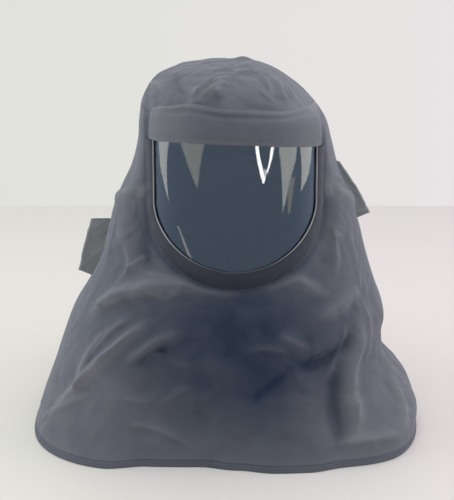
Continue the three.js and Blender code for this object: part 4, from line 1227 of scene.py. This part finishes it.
def stage_sheet(name, places, quads, look):
    """A sheet of the surroundings, from places in metres."""
    mesh = bpy.data.meshes.new(name)
    mesh.from_pydata(places, [], quads)
    mesh.materials.append(look)
    sheet = bpy.data.objects.new(name, mesh)
    bpy.context.scene.collection.objects.link(sheet)
    return sheet


table_corners = [(x, y, TABLE_HEIGHT) for x, y in (
    (-TABLE_SIDE, TABLE_NEAR), (TABLE_SIDE, TABLE_NEAR), (TABLE_SIDE, TABLE_FAR), (-TABLE_SIDE, TABLE_FAR))]
table = stage_sheet("table", table_corners, [(0, 1, 2, 3)], table_material())
print("table", round(2 * TABLE_SIDE, 2), "by", round(TABLE_FAR - TABLE_NEAR, 2), "m")


# %% [markdown]
# ## Light
# A pale sky stands for the walls, and broad soft lights hang above and at both sides, so the cloth has no
# hard shadows and its folds still show.

# %% Room light
def room_light():
    """The far wall and the room as one pale sky: greener to the left, pinker to the right, and dimmer
    behind the viewer."""
    world = bpy.data.worlds.new("room")
    world.use_nodes = True
    tree = world.node_tree
    direction = add_node(tree, "ShaderNodeTexCoord").outputs["Generated"]
    parts = add_node(tree, "ShaderNodeSeparateXYZ", {0: direction})
    across = add_node(tree, "ShaderNodeMapRange", {
        "Value": parts.outputs[0], "From Min": -0.3, "From Max": 0.3})
    tint = mix_colours(tree, across.outputs[0], (0.73, 0.76, 0.69), (0.83, 0.775, 0.80))
    behind = add_node(tree, "ShaderNodeMapRange", {
        "Value": parts.outputs[1], "From Min": 0.5, "From Max": -0.1})
    tint = mix_colours(tree, behind.outputs[0], tint, (0.51, 0.535, 0.585))
    tree.links.new(tint, tree.nodes["Background"].inputs["Color"])
    tree.nodes["Background"].inputs["Strength"].default_value = 1.0
    bpy.context.scene.world = world


room_light()


def soft_light(name, place, target, size, power, colour):
    """A square area light that faces a target and doesn't show itself."""
    data = bpy.data.lights.new(name, "AREA")
    data.shape, data.size, data.energy, data.color = "SQUARE", size, power, colour
    lamp = bpy.data.objects.new(name, data)
    lamp.location = place
    away = np.array(place, float) - np.array(target, float)
    length = np.linalg.norm(away)
    lamp.rotation_euler = (math.acos(away[2] / length), 0.0, math.atan2(away[0], -away[1]))
    lamp.visible_camera = False
    lamp.visible_glossy = False
    bpy.context.scene.collection.objects.link(lamp)
    return lamp


HOOD_MIDDLE = (0.0, 0.0, -0.28)
lamps = [
    soft_light("overhead", (0.0, 0.0, 1.9), HOOD_MIDDLE, 2.0, 20.0, (1.0, 0.99, 0.97)),
    soft_light("left_window", (-2.2, -0.3, 0.6), HOOD_MIDDLE, 1.6, 18.0, (0.95, 1.0, 0.98)),
    soft_light("right_window", (2.2, -0.3, 0.6), HOOD_MIDDLE, 1.6, 19.0, (1.0, 0.95, 0.97)),
]
print("lights", [lamp.name for lamp in lamps])

# %% [markdown]
# ## What the window mirrors
# The bowed window mirrors the bright parts of the room behind the viewer as narrow upright strips, and the
# room itself as an even blue grey. Each strip is a glowing sheet, set where the law of reflection says: from
# the eye to a place on the window, and on along the mirrored direction. One wide dim sheet behind them all
# is the room. The sheets light nothing else and don't show themselves.

# %% Camera and mirrored strips
EYE = np.array([-12.0, -1602.5, 222.2])
LOOKS_DOWN, LENS, SENSOR = 18.0, 75.6, 36.0
camera_data = bpy.data.cameras.new("camera")
camera_data.sensor_width, camera_data.lens = SENSOR, LENS
camera_data.clip_start, camera_data.clip_end = 0.05, 60.0
camera = bpy.data.objects.new("camera", camera_data)
camera.location = EYE * MM
camera.rotation_euler = (math.radians(90 - LOOKS_DOWN), 0.0, 0.0)
bpy.context.scene.collection.objects.link(camera)
bpy.context.scene.camera = camera

# Corners of each strip as the window mirrors it, in x and z seen from the front, how far its middle bows to
# the right, and its strength.
STRIPS = [
    ("strip_far_left", [(-112, -98), (-96, -98), (-97, -189), (-100, -180)], -4.0, 5.0),
    ("strip_left", [(-80, -96), (-43, -94), (-52, -140), (-55, -163)], -1.0, 3.4),
    ("strip_bright_left", [(28, -96), (33, -96), (43.5, -146), (40, -154)], -2.0, 26.0),
    ("strip_bright_right", [(51.5, -97), (56, -97), (45.5, -140), (40, -154)], 2.0, 26.0),
    ("strip_between", [(36, -134), (46, -132), (43, -152), (40, -153)], 0.0, 9.0),
    ("strip_right", [(62, -100), (90, -103), (80, -152), (69, -201)], 2.0, 5.4),
    ("strip_low_right", [(76, -150), (88, -148), (80, -200), (77, -205)], 0.0, 2.6),
    ("strip_far_right", [(94, -104), (113, -106), (106, -157), (96, -173)], 2.0, 5.2),
    ("strip_low", [(-85.5, -220), (-83, -220), (-61, -269), (-65.5, -270)], 0.0, 4.0),
    ("room_behind", [(-123, -70), (123, -70), (123, -290), (-123, -290)], 0.0, 1.0),
]
STRIP_REACH, ROOM_REACH, STRIP_STEPS = 5000.0, 5600.0, 17
GLOW, ROOM_GLOW = (0.95, 1.0, 0.98, 1.0), (0.70, 1.0, 1.58, 1.0)


def mirrored(x, z, reach):
    """Where the window mirrors the eye's view: the ray's direction less twice its part along the normal,
    carried on to the reach."""
    step = 0.5
    place = np.stack([x, window_face(x, z), z], -1)
    slope_x = (window_face(x + step, z) - window_face(x - step, z)) / (2 * step)
    slope_z = (window_face(x, z + step) - window_face(x, z - step)) / (2 * step)
    normal = unit(np.stack([slope_x, -np.ones_like(slope_x), slope_z], -1))
    ray = unit(place - EYE)
    bounced = ray - 2 * (ray * normal).sum(-1, keepdims=True) * normal
    return place + reach * bounced


def glow_material(name, colour, strength):
    """A plain glow."""
    made = bpy.data.materials.new(name)
    made.use_nodes = True
    tree = made.node_tree
    tree.nodes.remove(tree.nodes["Principled BSDF"])
    glow = add_node(tree, "ShaderNodeEmission", {"Color": colour, "Strength": strength})
    tree.links.new(glow.outputs[0], tree.nodes["Material Output"].inputs["Surface"])
    return made


for name, corners, bow, strength in STRIPS:
    corners = np.array(corners, float)
    is_room = name == "room_behind"
    v, u = np.meshgrid(np.linspace(0, 1, STRIP_STEPS), np.linspace(0, 1, STRIP_STEPS), indexing="ij")
    u, v = u[..., None], v[..., None]
    left, right = corners[0] * (1 - v) + corners[3] * v, corners[1] * (1 - v) + corners[2] * v
    spots = left * (1 - u) + right * u + 4 * bow * v * (1 - v) * np.array([1, 0])
    places = mirrored(spots[..., 0], spots[..., 1], ROOM_REACH if is_room else STRIP_REACH)
    strip = stage_sheet(name, (places.reshape(-1, 3) * MM).tolist(),
                        grid_quads(STRIP_STEPS, STRIP_STEPS).tolist(),
                        glow_material(name, ROOM_GLOW if is_room else GLOW, strength))
    strip.visible_camera = strip.visible_diffuse = False
    strip.visible_shadow = strip.visible_transmission = False
print("strips", len(STRIPS))

# %% [markdown]
# ## Last step
# The picture's colours are shown with the standard view transform.

# %% View transform
bpy.context.scene.view_settings.view_transform = "Standard"
